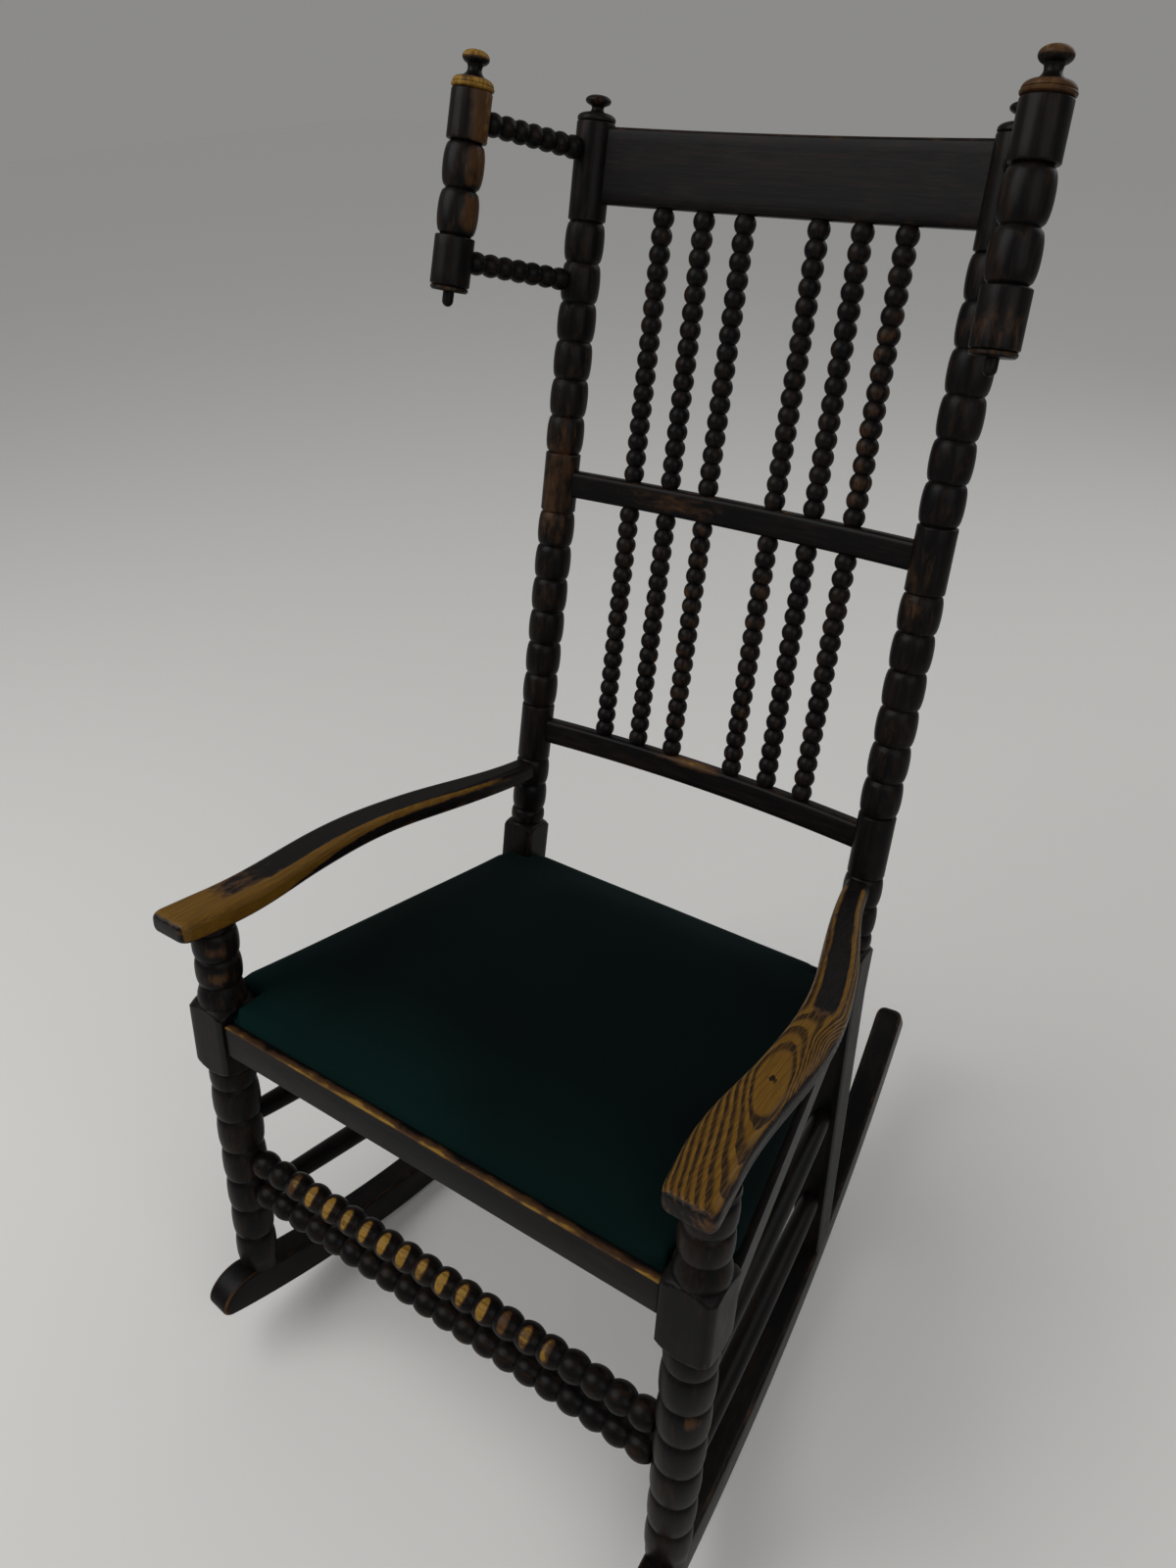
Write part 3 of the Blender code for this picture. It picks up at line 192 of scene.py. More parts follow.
def ebonisedWood():
    make = Finish("ebonised_wood")
    grain = make.attribute("grain", "Vector")
    streaks = make.speckle(grain, (420, 420, 14), 4.0, 0.6)
    pores = make.speckle(grain, (1500, 1500, 60), 2.0, 0.5)
    mottle = make.speckle(grain, (38, 38, 11), 4.0, 0.6, 0.6)
    patches = make.speckle(grain, (130, 130, 45), 5.0, 0.65, 0.4)
    tone = make.weighed(streaks, 0.5, mottle, 0.5)
    colour = make.mix(make.spread(tone, 0.44, 0.70), stain["black"], stain["brown"])
    rub = make.times(make.attribute("crown"), make.spread(patches, 0.48, 0.76))
    colour = make.mix(make.times(rub, 0.36), colour, stain["rubbed"])
    fibres = make.weighed(streaks, 0.7, pores, 0.3)
    gold = make.mix(make.spread(fibres, 0.35, 0.62), stain["goldDark"], stain["gold"])
    broken = make.plus(make.attribute("wear"), make.about(patches, 0.5, 0.8))
    bare = make.spread(broken, 0.60, 0.80)
    colour = make.mix(make.spread(broken, 0.24, 0.60), colour, stain["rubbed"])
    colour = make.mix(bare, colour, gold)
    rough = make.plus(stain["roughness"], make.about(patches, 0.4, 0.22))
    rough = make.plus(rough, make.times(bare, 0.10))
    height = make.weighed(streaks, 0.6, patches, 0.4)
    return make.done(colour, rough, (0.30, 0.0006, height), stain)


# Arm wood: the same stain over elm, with growth rings that show once the stain has gone

elm = dict(
    pale=(0.112, 0.057, 0.0068),
    honey=(0.064, 0.0290, 0.0036),
    line=(0.0095, 0.0042, 0.0018),
    roughness=0.36,
    gloss=0.10,
    coat=0.03,
    coatRoughness=0.20,
)


def armWood():
    make = Finish("worn_arm_wood")
    grain = make.attribute("grain", "Vector")
    rings = make.attribute("rings")
    fine = make.speckle(grain, (800, 800, 26), 4.0, 0.6)
    wander = make.speckle(grain, (60, 60, 12), 3.0, 0.55)
    flakes = make.speckle(grain, (170, 170, 60), 6.0, 0.7, 0.5)
    scuffs = make.speckle(grain, (420, 420, 150), 5.0, 0.7)
    clouds = make.speckle(grain, (45, 45, 16), 3.0, 0.5)
    saw = make.sum("FRACT", make.plus(rings, make.about(wander, 0.5, 1.0)))
    line = make.times(make.spread(saw, 0.26, 0.62), make.spread(saw, 1.0, 0.93))
    line = make.times(line, make.sum("GREATER_THAN", rings, 0.0))
    late = make.times(line, make.spread(fine, 0.28, 0.55))
    colour = make.mix(make.spread(fine, 0.30, 0.70), elm["honey"], elm["pale"])
    colour = make.mix(make.spread(clouds, 0.45, 0.75, 0.0, 0.45), colour, elm["honey"])
    colour = make.mix(make.times(late, 0.97), colour, elm["line"])
    heart = (eye["x"], armMiddle + arm["thickness"] / 2, eye["y"])
    away = make.add("ShaderNodeVectorMath", operation="DISTANCE", i0=grain, i1=heart).outputs["Value"]
    split = make.spread(make.plus(away, make.about(scuffs, 0.5, 0.016)), 0.0040, 0.0022)
    colour = make.mix(split, colour, elm["line"])
    ragged = make.about(make.weighed(flakes, 0.62, clouds, 0.38), 0.5, 1.70)
    broken = make.less(make.plus(make.attribute("wear"), ragged), make.times(line, 0.05))
    bare = make.spread(broken, 0.44, 0.58)
    dark = make.mix(make.spread(scuffs, 0.45, 0.70), stain["black"], stain["brown"])
    dark = make.mix(make.spread(broken, 0.22, 0.46), dark, stain["rubbed"])
    colour = make.mix(bare, dark, colour)
    rough = make.plus(elm["roughness"], make.about(scuffs, 0.4, 0.30))
    rough = make.plus(rough, make.times(late, 0.12))
    height = make.less(make.times(fine, 0.4), make.times(late, 0.4))
    height = make.less(height, make.times(bare, 0.35))
    return make.done(colour, rough, (0.35, 0.0005, height), elm)


# Velvet: a short dark green pile, brushed lighter and darker

velvet = dict(
    deep=(0.0003, 0.0013, 0.0014),
    light=(0.0004, 0.0028, 0.0027),
    # painted sheen: a lighter teal laid on the pile towards the front and the left
    paintedSheen=(0.0006, 0.0082, 0.0072),
    sheen=0.03,
    sheenRoughness=0.40,
    sheenTint=(0.10, 0.50, 0.40, 1.0),
    gloss=0.05,
)


def greenVelvet():
    make = Finish("green_velvet")
    place = make.place()
    brushed = make.speckle(place, (7, 5, 5), 2.0, 0.5, 0.4)
    pile = make.speckle(place, (1800, 1800, 1800), 2.0, 0.6)
    tone = make.weighed(brushed, 0.7, pile, 0.3)
    colour = make.mix(make.spread(tone, 0.35, 0.70), velvet["deep"], velvet["light"])
    # painted sheen: the pile is mixed towards the lighter teal by a per-vertex sheen attribute, not by the
    # light
    sheenShare = make.times(make.attribute("painted_sheen"), make.spread(tone, 0.20, 0.60, 0.4, 1.0))
    colour = make.mix(sheenShare, colour, velvet["paintedSheen"])
    return make.done(colour, make.spread(pile, 0.2, 0.8, 0.82, 0.95), (0.25, 0.0004, pile), velvet)


# Under the seat: sawn pine, jute webbing and a black bottom cloth with tacks

pine = dict(early=(0.46, 0.31, 0.17), late=(0.30, 0.175, 0.078), sawn=(0.22, 0.13, 0.06))
jute = dict(low=(0.16, 0.105, 0.055), high=(0.38, 0.27, 0.155), threads=160)
cloth = dict(low=(0.008, 0.008, 0.009), high=(0.035, 0.034, 0.034), threads=240)
steel = dict(bright=(0.18, 0.18, 0.19), rust=(0.085, 0.045, 0.025), metal=0.85)


def sawnPine():
    make = Finish("pine_board")
    place = make.place()
    rings = make.speckle(place, (12, 160, 160), 4.0, 0.5, 0.7)
    saw = make.speckle(place, (900, 60, 300), 2.0, 0.5)
    colour = make.mix(make.spread(rings, 0.40, 0.62), pine["early"], pine["late"])
    colour = make.mix(make.times(saw, 0.25), colour, pine["sawn"])
    return make.done(colour, make.spread(saw, 0.2, 0.8, 0.58, 0.78), (0.3, 0.0005, saw), pine)


def wovenCloth(name, looks):
    make = Finish(name)
    place = make.place()
    threads = looks["threads"]
    waves = [make.add("ShaderNodeTexWave", Vector=place, Scale=threads, bands_direction=way) for way in "XY"]
    fluff = make.speckle(place, (300, 300, 300), 3.0, 0.6)
    weave = make.times(*(wave.outputs["Fac"] for wave in waves))
    tone = make.weighed(weave, 0.6, fluff, 0.4)
    colour = make.mix(tone, looks["low"], looks["high"])
    return make.done(colour, make.spread(tone, 0.0, 1.0, 0.95, 0.80), (0.4, 0.0004, weave), looks)


def tackSteel():
    make = Finish("tack_steel")
    rust = make.speckle(make.place(), (700, 700, 700), 3.0, 0.6)
    colour = make.mix(make.spread(rust, 0.45, 0.65), steel["bright"], steel["rust"])
    return make.done(colour, make.spread(rust, 0.3, 0.7, 0.35, 0.7), None, steel)


stained = ebonisedWood()
pileGreen = greenVelvet()
pineSawn = sawnPine()
juteWeave = wovenCloth("jute_webbing", jute)
clothWeave = wovenCloth("black_cloth", cloth)
steelTack = tackSteel()
print("finishes made")


# Meshes. Each vertex of wood keeps its place in the wood (grain, Z along the fibre), its wear and its crown.


def paint(mesh, name, values):  # keeps a number or a vector on each vertex
    values = np.asarray(values, np.float32)
    kind, field = ("FLOAT", "value") if values.ndim == 1 else ("FLOAT_VECTOR", "vector")
    mesh.attributes.new(name, kind, "POINT").data.foreach_set(field, values.ravel())


def smooth(mesh, crease):
    mesh.shade_smooth()
    mesh.set_sharp_from_angle(angle=math.radians(crease))


def finishMesh(obj, grain, wear, crown, crease=38):
    for name, values in (("grain", grain), ("wear", wear), ("crown", crown)):
        paint(obj.data, name, values)
    smooth(obj.data, crease)


def placePiece(obj, body, slotName, material, *nodes):
    obj.data.materials.clear()
    obj.data.materials.append(material)
    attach(obj, body)
    if nodes:
        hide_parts(*nodes)


def placeStained(obj, *nodes):
    placePiece(obj, "frame", "ebonised_wood", stained, *nodes)


def linkMesh(name, mesh):
    obj = bpy.data.objects.new(name, mesh)
    bpy.context.scene.collection.objects.link(obj)
    return obj


def fromPoints(name, points, edges=(), faces=()):
    mesh = bpy.data.meshes.new(name)
    mesh.from_pydata(points, edges, faces)
    return linkMesh(name, mesh)


def fromShape(name, shape):
    mesh = bpy.data.meshes.new(name)
    shape.to_mesh(mesh)
    shape.free()
    return linkMesh(name, mesh)


def stripsOf(rows, count, closed=False):  # the four corners of each face between neighbouring rows
    nextRows = range(1, rows + 1) if closed else range(1, rows)
    for row, following in enumerate(nextRows):
        low, high = row * count, following % rows * count
        for i in range(count):
            j = (i + 1) % count
            yield low + i, low + j, high + j, high + i


def skinRings(name, rings, place):
    rings = np.asarray(rings, float)
    rows, count = rings.shape[:2]
    shape = bmesh.new()
    verts = [shape.verts.new(point) for point in moved(rings.reshape(-1, 3), place)]
    for face in stripsOf(rows, count):
        shape.faces.new([verts[corner] for corner in face])
    shape.faces.new(verts[:count])
    shape.faces.new(verts[-count:])
    bmesh.ops.recalc_face_normals(shape, faces=shape.faces)
    return fromShape(name, shape)


def plainMesh(obj):  # the evaluated object as a plain mesh, under the same name
    graph = bpy.context.evaluated_depsgraph_get()
    mesh = bpy.data.meshes.new_from_object(obj.evaluated_get(graph))
    name = obj.name
    bpy.data.objects.remove(obj, do_unlink=True)
    mesh.name = name
    return linkMesh(name, mesh)


def corners(obj):
    points = np.empty(len(obj.data.vertices) * 3)
    obj.data.vertices.foreach_get("co", points)
    return points.reshape(-1, 3)


def moved(points, matrix):
    points = np.asarray(points, float)
    return points @ np.array(matrix.to_3x3()).T + np.array(matrix.translation)


def squared(node):  # the corners of a CAD node before the chair leans
    return moved(corners(frame["nodes"][node]), leanFrame.inverted())


def onAxis(start, axis):  # a turning stood on start, with its own Z along axis
    return Matrix.Translation(Vector(start)) @ Vector(axis).to_track_quat("Z", "Y").to_matrix().to_4x4()


def eased(value, low, high):
    share = np.clip((np.asarray(value, float) - low) / (high - low), 0.0, 1.0)
    return share * share * (3 - 2 * share)


def worn(points, wear, *spots):  # the most of a wear and of spots, each an amount, a centre and its reach
    for amount, centre, reach in spots:
        away = (points - np.array(centre)) / np.array(reach)
        wear = np.maximum(wear, amount * eased(1.0 - np.sqrt((away**2).sum(axis=1)), 0.0, 1.0))
    return wear


def quarterTurns(steps):
    return [math.pi / 2 * i / steps for i in range(steps + 1)]


# Lathe work. A profile runs from the top down as radius, height and crown, with half a side where square.

lathe = dict(
    barrelPower=2.3, barrelSteps=14, squareness=14, facets=48, least=0.00005, ease=0.0016, shoulderSteps=8,
    diagonal=1.42, seam=0.0006, sink=0.001, lift=0.0003,
)
grainStep = np.array([0.31, 0.17, 0.73])  # sets each turning in another part of the wood
grainShift = dict(rocker=0.4, post=0.53, backRail=0.37, spindle=0.41, seatRail=0.43)  # and the other pieces


def barrel(top, pitch, radius, groove, steps=lathe["barrelSteps"]):
    rows = []
    for i in range(steps):
        share = i / steps
        swell = (1 - abs(2 * share - 1) ** lathe["barrelPower"]) ** 0.5
        rows.append((groove + (radius - groove) * swell, top - share * pitch, swell))
    return rows


def barrels(top, pitch, count, radius, groove, taper=0.0):
    rows = []
    for i in range(count):
        less = taper * i / max(count - 1, 1)
        rows += barrel(top - i * pitch, pitch, radius - less, groove - less)
    return rows


def mirrored(rows, ends):  # the rows turned over, for a block whose two ends' heights add up to ends
    return [(row[0], ends - row[1], *row[2:]) for row in reversed(rows)]


def cylinderBlock(top, length, radius):
    ease = lathe["ease"]
    edge = []
    for turn in quarterTurns(4):
        edge.append((radius - ease * (1 - math.sin(turn)), top - ease * (1 - math.cos(turn)), 0.9))
    side = [(radius, top - length * share, 0.35) for share in (0.25, 0.5, 0.75)]
    return edge + side + mirrored(edge, 2 * top - length)


def squareBlock(top, length, half, turnedRadius, shoulder):  # a square left on the lathe, corners cut round
    steps = lathe["shoulderSteps"]
    growth = half * lathe["diagonal"] - turnedRadius
    rows = []
    for i, turn in enumerate(quarterTurns(steps)):
        rows.append((turnedRadius + growth * math.sin(turn), top - shoulder * i / steps, 0.3, half))
    return rows + mirrored(rows, 2 * top - length)


def sectionRing(radius, half, height, count):
    turns = np.arange(count) * math.tau / count
    ring = np.full(count, max(radius, lathe["least"]))
    if half:
        power = lathe["squareness"]
        square = half / (np.abs(np.cos(turns)) ** power + np.abs(np.sin(turns)) ** power) ** (1 / power)
        ring = np.minimum(ring, square)
    return np.column_stack([ring * np.cos(turns), ring * np.sin(turns), np.full(count, height)])


def latheRings(profile, count):
    rings = [sectionRing(row[0], row[3] if len(row) > 3 else 0.0, row[1], count) for row in profile]
    return np.asarray(rings), np.repeat([row[2] for row in profile], count)


def turnOnLathe(name, profile, place, seed, facets=lathe["facets"], arris=None):
    rings, crown = latheRings(profile, facets)
    local = rings.reshape(-1, 3)
    if arris:  # a block's outer front corner, rubbed round
        far = np.hypot(local[:, 0], local[:, 1])
        rubbed = (local[:, 0] > 0) & (local[:, 1] < 0) & (far > arris)
        local[:, :2] *= np.where(rubbed, arris / far, 1.0)[:, None]
    return skinRings(name, rings, place), local, local + grainStep * (seed + 1), crown


# Rockers: a bent board under each pair of legs, rounded at the nose, squared behind

rocker = dict(
    height=0.0425, thickness=0.030, frontRadius=0.91, rearRadius=0.68, front=0.3490, rear=0.383,
    noseSlope=0.45, rearCorner=0.010, edge=0.0042, endRound=0.0095, balanceY=0.0002, steps=60, noseSteps=18,
    tries=12, noseWorn=(0.29, 0.36), tailWorn=(0.33, 0.385),
)
feet = dict(front=(0.2505, -0.2965), rear=(0.2105, 0.078), cope=0.0004)


def rockerRadius(direction):
    return rocker["frontRadius"] if direction < 0 else rocker["rearRadius"]


def rockerTop(point):  # height of the rockers' top under a point
    reach = (point[1] - stanceShift - rocker["balanceY"]) / math.cos(toeIn)
    radius = rockerRadius(reach)
    return radius - math.sqrt((radius - rocker["height"]) ** 2 - reach**2)


def footLevel(x, y):  # where a leg meets its rocker, found by closing in on it
    level = 0.0
    for _ in range(rocker["tries"]):
        point = leanFrame @ Vector((x, y, level))
        level += (rockerTop(point) - point.z) / math.cos(stance["lean"])
    return level


def toeOf(front, rear):
    return math.atan2(front[0] - rear[0], rear[1] - front[1])


toeIn = toeOf(feet["front"], feet["rear"])  # in the square layout, and then as the chair leans
frontFoot, rearFoot = (leanFrame @ Vector((*feet[end], footLevel(*feet[end]))) for end in ("front", "rear"))
toeIn = toeOf(frontFoot, rearFoot)
frontFootLevel, rearFootLevel = footLevel(*feet["front"]), footLevel(*feet["rear"])
balanceX = frontFoot.x - (rocker["balanceY"] + stanceShift - frontFoot.y) * math.tan(toeIn)


def onRocker(rise, angle):
    radius = rockerRadius(angle)
    return ((radius - rise) * math.sin(angle), radius - (radius - rise) * math.cos(angle))


def rockerOutline(inset, pull):  # its side, drawn in all round by inset and at the rear end by pull
    half, top, steps = rocker["height"] / 2, rocker["height"] - inset, rocker["steps"]
    start = -math.asin((rocker["front"] - half) / rocker["frontRadius"])
    end = math.asin(rocker["rear"] / rocker["rearRadius"]) - pull / rocker["rearRadius"]
    corner = rocker["rearCorner"] / rocker["rearRadius"]
    topStart = start + rocker["noseSlope"] * half / rocker["frontRadius"]
    outline = [onRocker(inset, start + (end - corner / 2 - start) * i / steps) for i in range(steps + 1)]
    for turn in quarterTurns(6)[1:-1]:
        rise = inset + rocker["rearCorner"] / 2 * (1 - math.cos(turn))
        outline.append(onRocker(rise, end - corner / 2 * (1 - math.sin(turn))))
    for turn in quarterTurns(8)[1:-1]:
        rise = top - rocker["rearCorner"] * (1 - math.sin(turn))
        outline.append(onRocker(rise, end - corner * (1 - math.cos(turn))))
    outline += [onRocker(top, end - corner - (end - corner - topStart) * i / steps) for i in range(steps + 1)]
    middle = Vector(onRocker(half, start))
    ahead = Vector((-math.cos(start), -math.sin(start)))
    up = Vector((-math.sin(start), math.cos(start)))
    for i in range(1, rocker["noseSteps"]):
        turn = math.pi / 2 - math.pi * i / rocker["noseSteps"]
        forward = math.cos(turn) - rocker["noseSlope"] * math.sin(turn)
        outline.append(tuple(middle + (half - inset) * (math.sin(turn) * up + forward * ahead)))
    return outline


def drawnIn(x, half, radius):  # how far a rounded edge of this radius has fallen back at x
    over = min(max(abs(x) - (half - radius), 0.0), radius)
    return radius - math.sqrt(radius**2 - over**2)


def makeRocker(label, side):
    half, edge, endRound = rocker["thickness"] / 2, rocker["edge"], rocker["endRound"]
    place = Matrix.Translation((side * balanceX, rocker["balanceY"] + stanceShift, 0.0))
    place = place @ Matrix.Rotation(side * toeIn, 4, "Z")
    layers = [half - endRound, half - 0.75 * endRound]
    layers += [half - edge + edge * math.sin(turn) for turn in quarterTurns(6)]
    rings = []
    for x in [-layer for layer in reversed(layers)] + layers:
        inset = drawnIn(x, half, edge)
        outline = rockerOutline(inset, max(inset, drawnIn(x, half, endRound)))
        rings.append([(x, reach, height) for reach, height in outline])
    obj = skinRings(f"rocker_board_{label}", rings, Matrix())
    points = corners(obj)
    out = np.abs(points[:, 0])
    arris = eased(out, half - edge, half - 0.6 * edge) * (1 - eased(out, half - 0.25 * edge, half))
    nose = eased(-points[:, 1], *rocker["noseWorn"])
    tail = eased(points[:, 1], *rocker["tailWorn"])
    wear = np.maximum(0.34 * nose * (0.4 + 0.6 * arris), 0.36 * tail) + 0.30 * arris
    obj.data.transform(place)
    finishMesh(obj, points[:, [0, 2, 1]] + side * grainShift["rocker"], wear, arris)
    placeStained(obj, f"rocker_{label}")


makeBoth("rockers", makeRocker)


# Front legs: bobbins below and above a square block

leg = dict(
    x=0.2505, radius=0.0224, footRadius=0.0202, armRadius=0.0208, groove=0.0034, block=0.045, blockLow=0.333,
    blockHigh=0.4077, shoulder=0.010, pitch=0.0405, count=6, neck=0.024, neckSlim=0.0006, neckGroove=0.0032,
    upperPitch=0.0285, upperCount=2, cone=0.0205, flare=0.0012, collar=0.0098, collarSlim=0.0012,
    sink=0.0005, seam=0.0005, rubbedArris=1.27, edgeBand=0.004, footClear=0.004, coneSteps=12,
)
armLevel = leg["blockHigh"] + leg["cone"] + leg["upperCount"] * leg["upperPitch"] + leg["collar"]


def legProfile():
    top, radius, armRadius = armLevel + leg["sink"], leg["radius"], leg["armRadius"]
    groove, flared = armRadius - leg["groove"], armRadius + leg["flare"]
    rows = [(0.0, top, 0.0), (armRadius - leg["collarSlim"], top, 0.2)]
    rows.append((armRadius - leg["collarSlim"] / 3, top - 0.5 * leg["collar"], 0.5))
    rows += barrels(armLevel - leg["collar"], leg["upperPitch"], leg["upperCount"], armRadius, groove)
    coneTop = leg["blockHigh"] + leg["cone"]
    for i in range(leg["coneSteps"] + 1):  # the flared ring that sits on the block
        share = i / leg["coneSteps"]
        swell = math.sin(math.pi * min(share * 0.62, 0.5))
        rows.append((groove + (flared - groove) * swell, coneTop - share * leg["cone"], swell))
    length = leg["blockHigh"] - leg["blockLow"]
    rows += squareBlock(leg["blockHigh"], length, leg["block"] / 2, flared, leg["shoulder"])
    neckTop, neck = leg["blockLow"] - leg["seam"], leg["neck"] - leg["seam"]
    rows += barrel(neckTop, neck, radius - leg["neckSlim"], radius - leg["neckGroove"])
    first, taper = leg["blockLow"] - leg["neck"], radius - leg["footRadius"]
    return rows + barrels(first, leg["pitch"], leg["count"], radius, radius - leg["groove"], taper)


def copeToRocker(obj):  # drops the last ring of a leg onto the rocker's curved top
    for vertex in obj.data.vertices[-lathe["facets"] :]:
        vertex.co.z = rockerTop(vertex.co) - feet["cope"]


def legWear(local, side):
    middle, half = (leg["blockLow"] + leg["blockHigh"]) / 2, leg["block"] / 2
    edges = np.minimum(np.abs(local[:, 0]), np.abs(local[:, 1])) > half - leg["edgeBand"]
    onBlock = np.abs(local[:, 2] - middle) < (leg["blockHigh"] - leg["blockLow"]) / 2
    if side > 0:
        spots = [
            (0.50, (half, 0.0, middle), (0.012, 0.02, 0.03)),
            (0.46, (half - 0.003, 0.003 - half, middle + 0.008), (0.012, 0.012, 0.034)),
            (0.55, (0.016, -0.016, 0.262), (0.02, 0.02, 0.014)),
            (0.44, (0.0, -0.02, armLevel - 0.004), (0.04, 0.03, 0.013)),
        ]
    else:
        levels = [armLevel - leg["collar"] - bobbin * leg["upperPitch"] for bobbin in (0.5, 1.5)]
        spots = [(0.56, (0.014, -0.014, level), (0.022, 0.022, 0.013)) for level in levels]
    return worn(local, 0.30 * (edges & onBlock), *spots)


def makeFrontLeg(label, side):
    last = leg["blockLow"] - leg["neck"] - leg["count"] * leg["pitch"]
    ankle = leg["footRadius"] - 0.6 * leg["groove"]
    profile = [row for row in legProfile() if row[1] > frontFootLevel + leg["footClear"]]
    profile.append((ankle if last > frontFootLevel else profile[-1][0] - 0.0006, frontFootLevel, 0.0))
    place = leanFrame @ Matrix.Translation((side * leg["x"], stance["legY"], 0))
    arris = leg["rubbedArris"] * leg["block"] / 2 if side > 0 else None
    made = turnOnLathe(f"front_leg_turning_{label}", profile, place, 3 + side, arris=arris)
    obj, local, grain, crown = made
    copeToRocker(obj)
    finishMesh(obj, grain, legWear(local, side), crown)
    placeStained(obj, f"front_leg_{label}")


makeBoth("front legs", makeFrontLeg)


# Back posts: a plain square leg up to the seat, then turned, with plain blocks where the rails enter

post = dict(
    x=0.1945, leanIn=math.radians(0.56), radius=0.0182, groove=0.0148, blockRadius=0.0172, kneeHeight=0.040,
    kneeRing=0.016, kneeSteps=10, kneeClear=0.004, armBobbin=0.0302, armBobbins=2, lowerBlock=0.062,
    pitch=0.0342, count=6, middleBlock=0.0575, topBlock=0.0805, side=0.037, footSide=0.032, shoulder=0.009,
    edgeBand=0.005, legSteps=24,
)
kneeRingTop = post["kneeHeight"] + post["kneeRing"]
lowerBlockLow = kneeRingTop + post["armBobbins"] * post["armBobbin"]
lowerBlockHigh = lowerBlockLow + post["lowerBlock"]
middleBlockLow = lowerBlockHigh + post["count"] * post["pitch"]
middleBlockHigh = middleBlockLow + post["middleBlock"]
topBlockLow = middleBlockHigh + post["count"] * post["pitch"]
postTop = topBlockLow + post["topBlock"]


def postProfile():
    radius, groove, blockRadius, seam = post["radius"], post["groove"], post["blockRadius"], lathe["seam"]
    rows = [(0.0, postTop, 0.0)]
    rows += cylinderBlock(postTop, post["topBlock"] - seam, blockRadius)
    for low, high in ((topBlockLow, middleBlockHigh), (middleBlockLow, lowerBlockHigh)):
        rows += barrels(low, post["pitch"], post["count"], radius, groove)
        rows.append((groove, high, 0.0))
        length = post["middleBlock"] if high == middleBlockHigh else post["lowerBlock"]
        rows += cylinderBlock(high - seam, length - 2 * seam, blockRadius)
    rows += barrels(lowerBlockLow, post["armBobbin"], post["armBobbins"], radius, groove)
    rows += barrel(kneeRingTop, post["kneeRing"], radius, groove, post["kneeSteps"])
    knee = post["kneeHeight"]
    block = squareBlock(knee, 2 * knee, post["side"] / 2, groove + 0.001, post["shoulder"])
    return rows + [row for row in block if row[1] > post["kneeClear"]]


def rearLeg(share):  # the middle of a rear leg, a share of the way from knee to foot
    start, end = (post["x"], stance["kneeY"], stance["kneeZ"]), (*feet["rear"], rearFootLevel)
    return [low + (high - low) * share for low, high in zip(start, end)]


def postWear(local, side):
    if side < 0:
        rubbed = (0.46, (0.006, -0.016, (middleBlockLow + middleBlockHigh) / 2), (0.05, 0.04, 0.135))
    else:
        rubbed = (0.34, (-0.006, -0.016, middleBlockLow), (0.05, 0.04, 0.110))
    edges = np.minimum(np.abs(local[:, 0]), np.abs(local[:, 1])) > post["side"] / 2 - post["edgeBand"]
    return worn(local, 0.25 * (edges & (local[:, 2] < post["kneeHeight"])), rubbed)


def makeBackPost(label, side):
    count, steps = lathe["facets"], post["legSteps"]
    turned, crown = latheRings(postProfile(), count)
    place = backFrame @ Matrix.Translation((side * post["x"], 0, 0))
    place = place @ Matrix.Rotation(-side * post["leanIn"], 4, "Y")
    rings, local = [moved(ring, place) for ring in turned], list(turned)
    for i in range(1, steps + 1):
        x, y, level = rearLeg(i / steps)
        half = (post["side"] + (post["footSide"] - post["side"]) * i / steps) / 2
        ring = sectionRing(1.0, half, 0.0, count)
        rings.append(moved(ring, leanFrame @ Matrix.Translation((side * x, y, level))))
        local.append(ring + np.array((0, 0, level - stance["kneeZ"])))
    obj = skinRings(f"back_post_turning_{label}", rings, Matrix())
    copeToRocker(obj)
    local = np.concatenate(local)
    crown = np.concatenate([crown, np.full(steps * count, 0.2)])
    finishMesh(obj, local + grainShift["post"] * side, postWear(local, side), crown)
    placeStained(obj, f"back_post_{label}")


makeBoth("back posts", makeBackPost)


# Bowed rails

backRails = dict(
    bow=0.016, thickness=0.016, edge=0.0042, topHeight=0.062, slimHeight=0.0255, lowerLift=0.0035,
    topSeat=0.19, steps=60, edgeSteps=4, spans=(3, 8), sink=0.0015,
)
topRailLow = topBlockLow + backRails["topSeat"] * post["topBlock"]
lowerRailMiddle = (lowerBlockLow + lowerBlockHigh) / 2 + backRails["lowerLift"]
middleRailMiddle = (middleBlockLow + middleBlockHigh) / 2


def bowAt(x):
    return backRails["bow"] * (1 - (np.asarray(x) / post["x"]) ** 2)


def postAxisX(height):  # the posts lean in towards the top
    return post["x"] - height * math.tan(post["leanIn"])


def roundedBox(halfWide, halfHigh, edge, steps, spans):  # round a box, with points along its sides
    arcs = []
    for cornerX, cornerY, start in ((1, -1, -90), (1, 1, 0), (-1, 1, 90), (-1, -1, 180)):
        middle = np.array((cornerX * (halfWide - edge), cornerY * (halfHigh - edge)))
        turns = [math.radians(start + 90 * i / steps) for i in range(steps + 1)]
        arcs.append([middle + edge * np.array((math.cos(turn), math.sin(turn))) for turn in turns])
    points = []
    for arc, following, span in zip(arcs, arcs[1:] + arcs[:1], (spans[1], spans[0]) * 2):
        points += arc
        points += [arc[-1] + (following[0] - arc[-1]) * (i / span) for i in range(1, span)]
    return points


